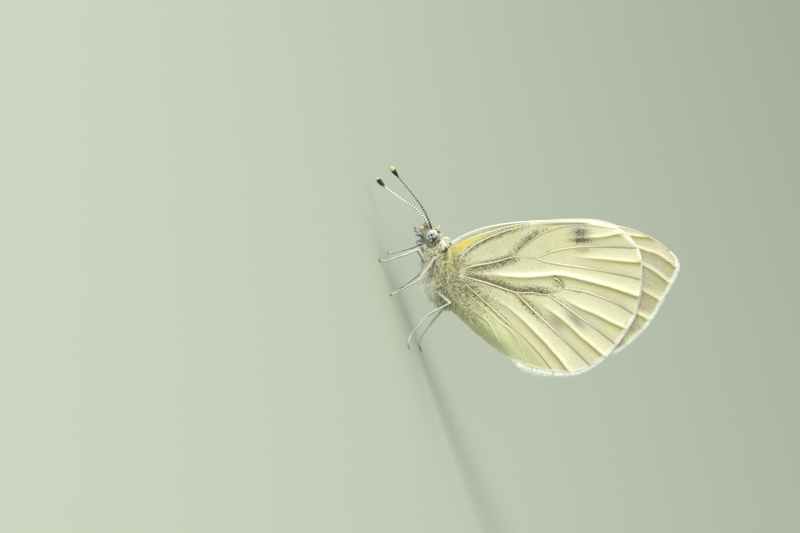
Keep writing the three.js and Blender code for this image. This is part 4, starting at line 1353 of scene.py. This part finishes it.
# ---- Fringes and wing down -------------------------------------------------------------------
# Narrow hair scales set along the wings' edges, longest and loosest on the hindwing's lower edge,
# and long soft hairs over the roots of the hindwings, which hide where they join the thorax.
FRINGE_STEPS = 800
DOWN_HAIRS, ROOT_ROWS = 3400, 7
fringe_finish, nodes, link, shader = new_finish("fringe_hair", 0.6)
link(layered(nodes, link, colour(250, 253, 244), {"dark": (200, 194, 168)}), shader.inputs["Base Color"])
draw = np.random.default_rng(47)
fringes = {  # rear edge, surface, rows of the membrane, vanes, and shares of the edge with the length there
    "hindwing": (
        HINDWING_REAR, hind_surface, HIND_ROWS, 5600,
        [0, 0.1, 0.26, 0.34, 0.44, 0.55, 0.88, 1], [0.28, 0.28, 0.34, 0.8, 0.5, 0.34, 0.3, 0.08],
    ),
    "forewing": (
        FOREWING_REAR, fore_surface, FORE_ROWS, 3800,
        [0, 0.45, 0.54, 0.9, 1], [0.1, 0.24, 0.34, 0.34, 0.06],
    ),
}
for which, side in (("left", -1), ("right", 1)):
    for part, (rear, surface, rows, count, stops, lengths) in fringes.items():
        share = (np.arange(count) + draw.random(count)) / count * (rows - 1) / (rows + 1)
        edge = even_steps(through(rear, 400), FRINGE_STEPS)
        ways = unit(np.gradient(edge, axis=0))
        at = share * (FRINGE_STEPS - 1)
        x, z, way_x, way_z = (np.interp(at, np.arange(FRINGE_STEPS), a) for a in (*edge.T, *ways.T))
        room = fringe_room(share) + 0.02
        x, z = x - way_z * room, z + way_x * room
        beside = surface(x, z)
        beside = beside + draw.uniform(-0.03, 0.03, count)
        # On the hindwing the fringe is darker near the start of its rear edge, and painted shade dims it
        # from 0.76 to 0.97 of the edge.
        upper = 0.6 * smooth_step(share, 0.76, 0.83) * (1 - smooth_step(share, 0.93, 0.97))
        shaded = 1 - smooth_step(share, 0.24, 0.3) + upper
        nothing = np.zeros(count)
        lean = 0.35 + 0.2 * draw.normal(size=count)
        vanes = make_tufts(
            f"{part}_{which}_fringe",
            fringe_finish,
            np.stack([x, side * beside, z], axis=-1),
            np.stack([nothing, nothing + side, nothing], axis=-1),
            unit(np.stack([way_z + lean * way_x, nothing, -way_x + lean * way_z], axis=-1)),
            np.interp(share, stops, lengths) * draw.uniform(0.55, 1.25, count),
            0.06 * draw.uniform(0.7, 1.3, count),
            0.06 * draw.normal(size=count),
            0.2 * draw.normal(size=count),
            0.25 * draw.normal(size=count),
            np.stack([MAP_WIDE * share, nothing + MAP_HIGH], axis=-1),
            {"dark": np.maximum(draw.random(count) < 0.12, (part == "hindwing") * shaded)},
        )
        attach(vanes, "root")
    count = DOWN_HAIRS
    at_root = np.arange(len(hind_x)) // HIND_COLUMNS < ROOT_ROWS
    chance = (
        1.2 * at_root * (0.25 + 0.75 * smooth_step(hind_x, -2.5, -1.7))
        + patch(hind_x, hind_z, (0.4, 6.3), (1.8, 0.8), -20)
        + 0.3 * patch(hind_x, hind_z, (3.2, 6.8), (2.8, 0.9), 30)
        + 2.4 * patch(hind_x, hind_z, (-0.4, 7.4), (0.32, 0.32))
    )
    chosen = np.searchsorted(np.cumsum(chance), draw.random(count) * chance.sum())
    row, column = chosen // HIND_COLUMNS, chosen % HIND_COLUMNS
    x, z = hind_x[chosen], hind_z[chosen]
    nothing = np.zeros(count)
    away = unit(np.stack([x + 1.6, z - 5.2], axis=-1)) + 0.22 * draw.normal(size=(count, 2))
    rooted = 1 - smooth_step(row + 6 * draw.random(count), 4.0, 9.0)[:, None]
    away = away * (1 - rooted) + rooted * (np.array([0.75, -0.5]) + 0.35 * draw.normal(size=(count, 2)))
    near = patch(x, z, (-0.8, 6.6), (2.4, 1.0))
    starry = patch(x, z, (-0.4, 7.4), (0.42, 0.42))
    burst = unit(np.stack([x + 0.4, z - 7.4], axis=-1) + 0.1 * draw.normal(size=(count, 2)))
    away = away + 4 * starry[:, None] * burst
    roots = np.stack([x, side * (hind_middle[chosen] + MEMBRANE / 2), z], axis=-1)
    dark = some_of(draw, count, 0.42, 0.6)
    marks = coat_marks(roots)
    marks["gold"] = np.maximum(marks["gold"], 1.0 * (x < -2.3))
    long = (0.42 + 0.25 * near) * draw.uniform(0.6, 1.3, count)
    wide = 0.052 * draw.uniform(0.7, 1.3, count)
    lift = np.radians(10 + 10 * starry) + 0.07 * draw.normal(size=count)
    droop = 0.1 + 0.1 * draw.normal(size=count)
    sway = 0.4 * draw.normal(size=count)
    pale = np.maximum((dark == 0) * (draw.random(count) < 0.35) * 0.6, 0.55 * starry)
    down = make_tufts(
        f"hindwing_{which}_down",
        bpy.data.materials["body_hair"],
        roots,
        np.stack([nothing, nothing + side, nothing], axis=-1),
        unit(np.stack([away[:, 0], nothing, away[:, 1]], axis=-1)),
        long,
        wide,
        lift,
        droop,
        sway,
        np.stack([MAP_WIDE * row / HIND_ROWS, MAP_HIGH * column / HIND_COLUMNS], axis=-1),
        {**marks, "dark": dark * (1 - starry) * (x > -2.3), "pale": pale},
    )
    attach(down, "root")
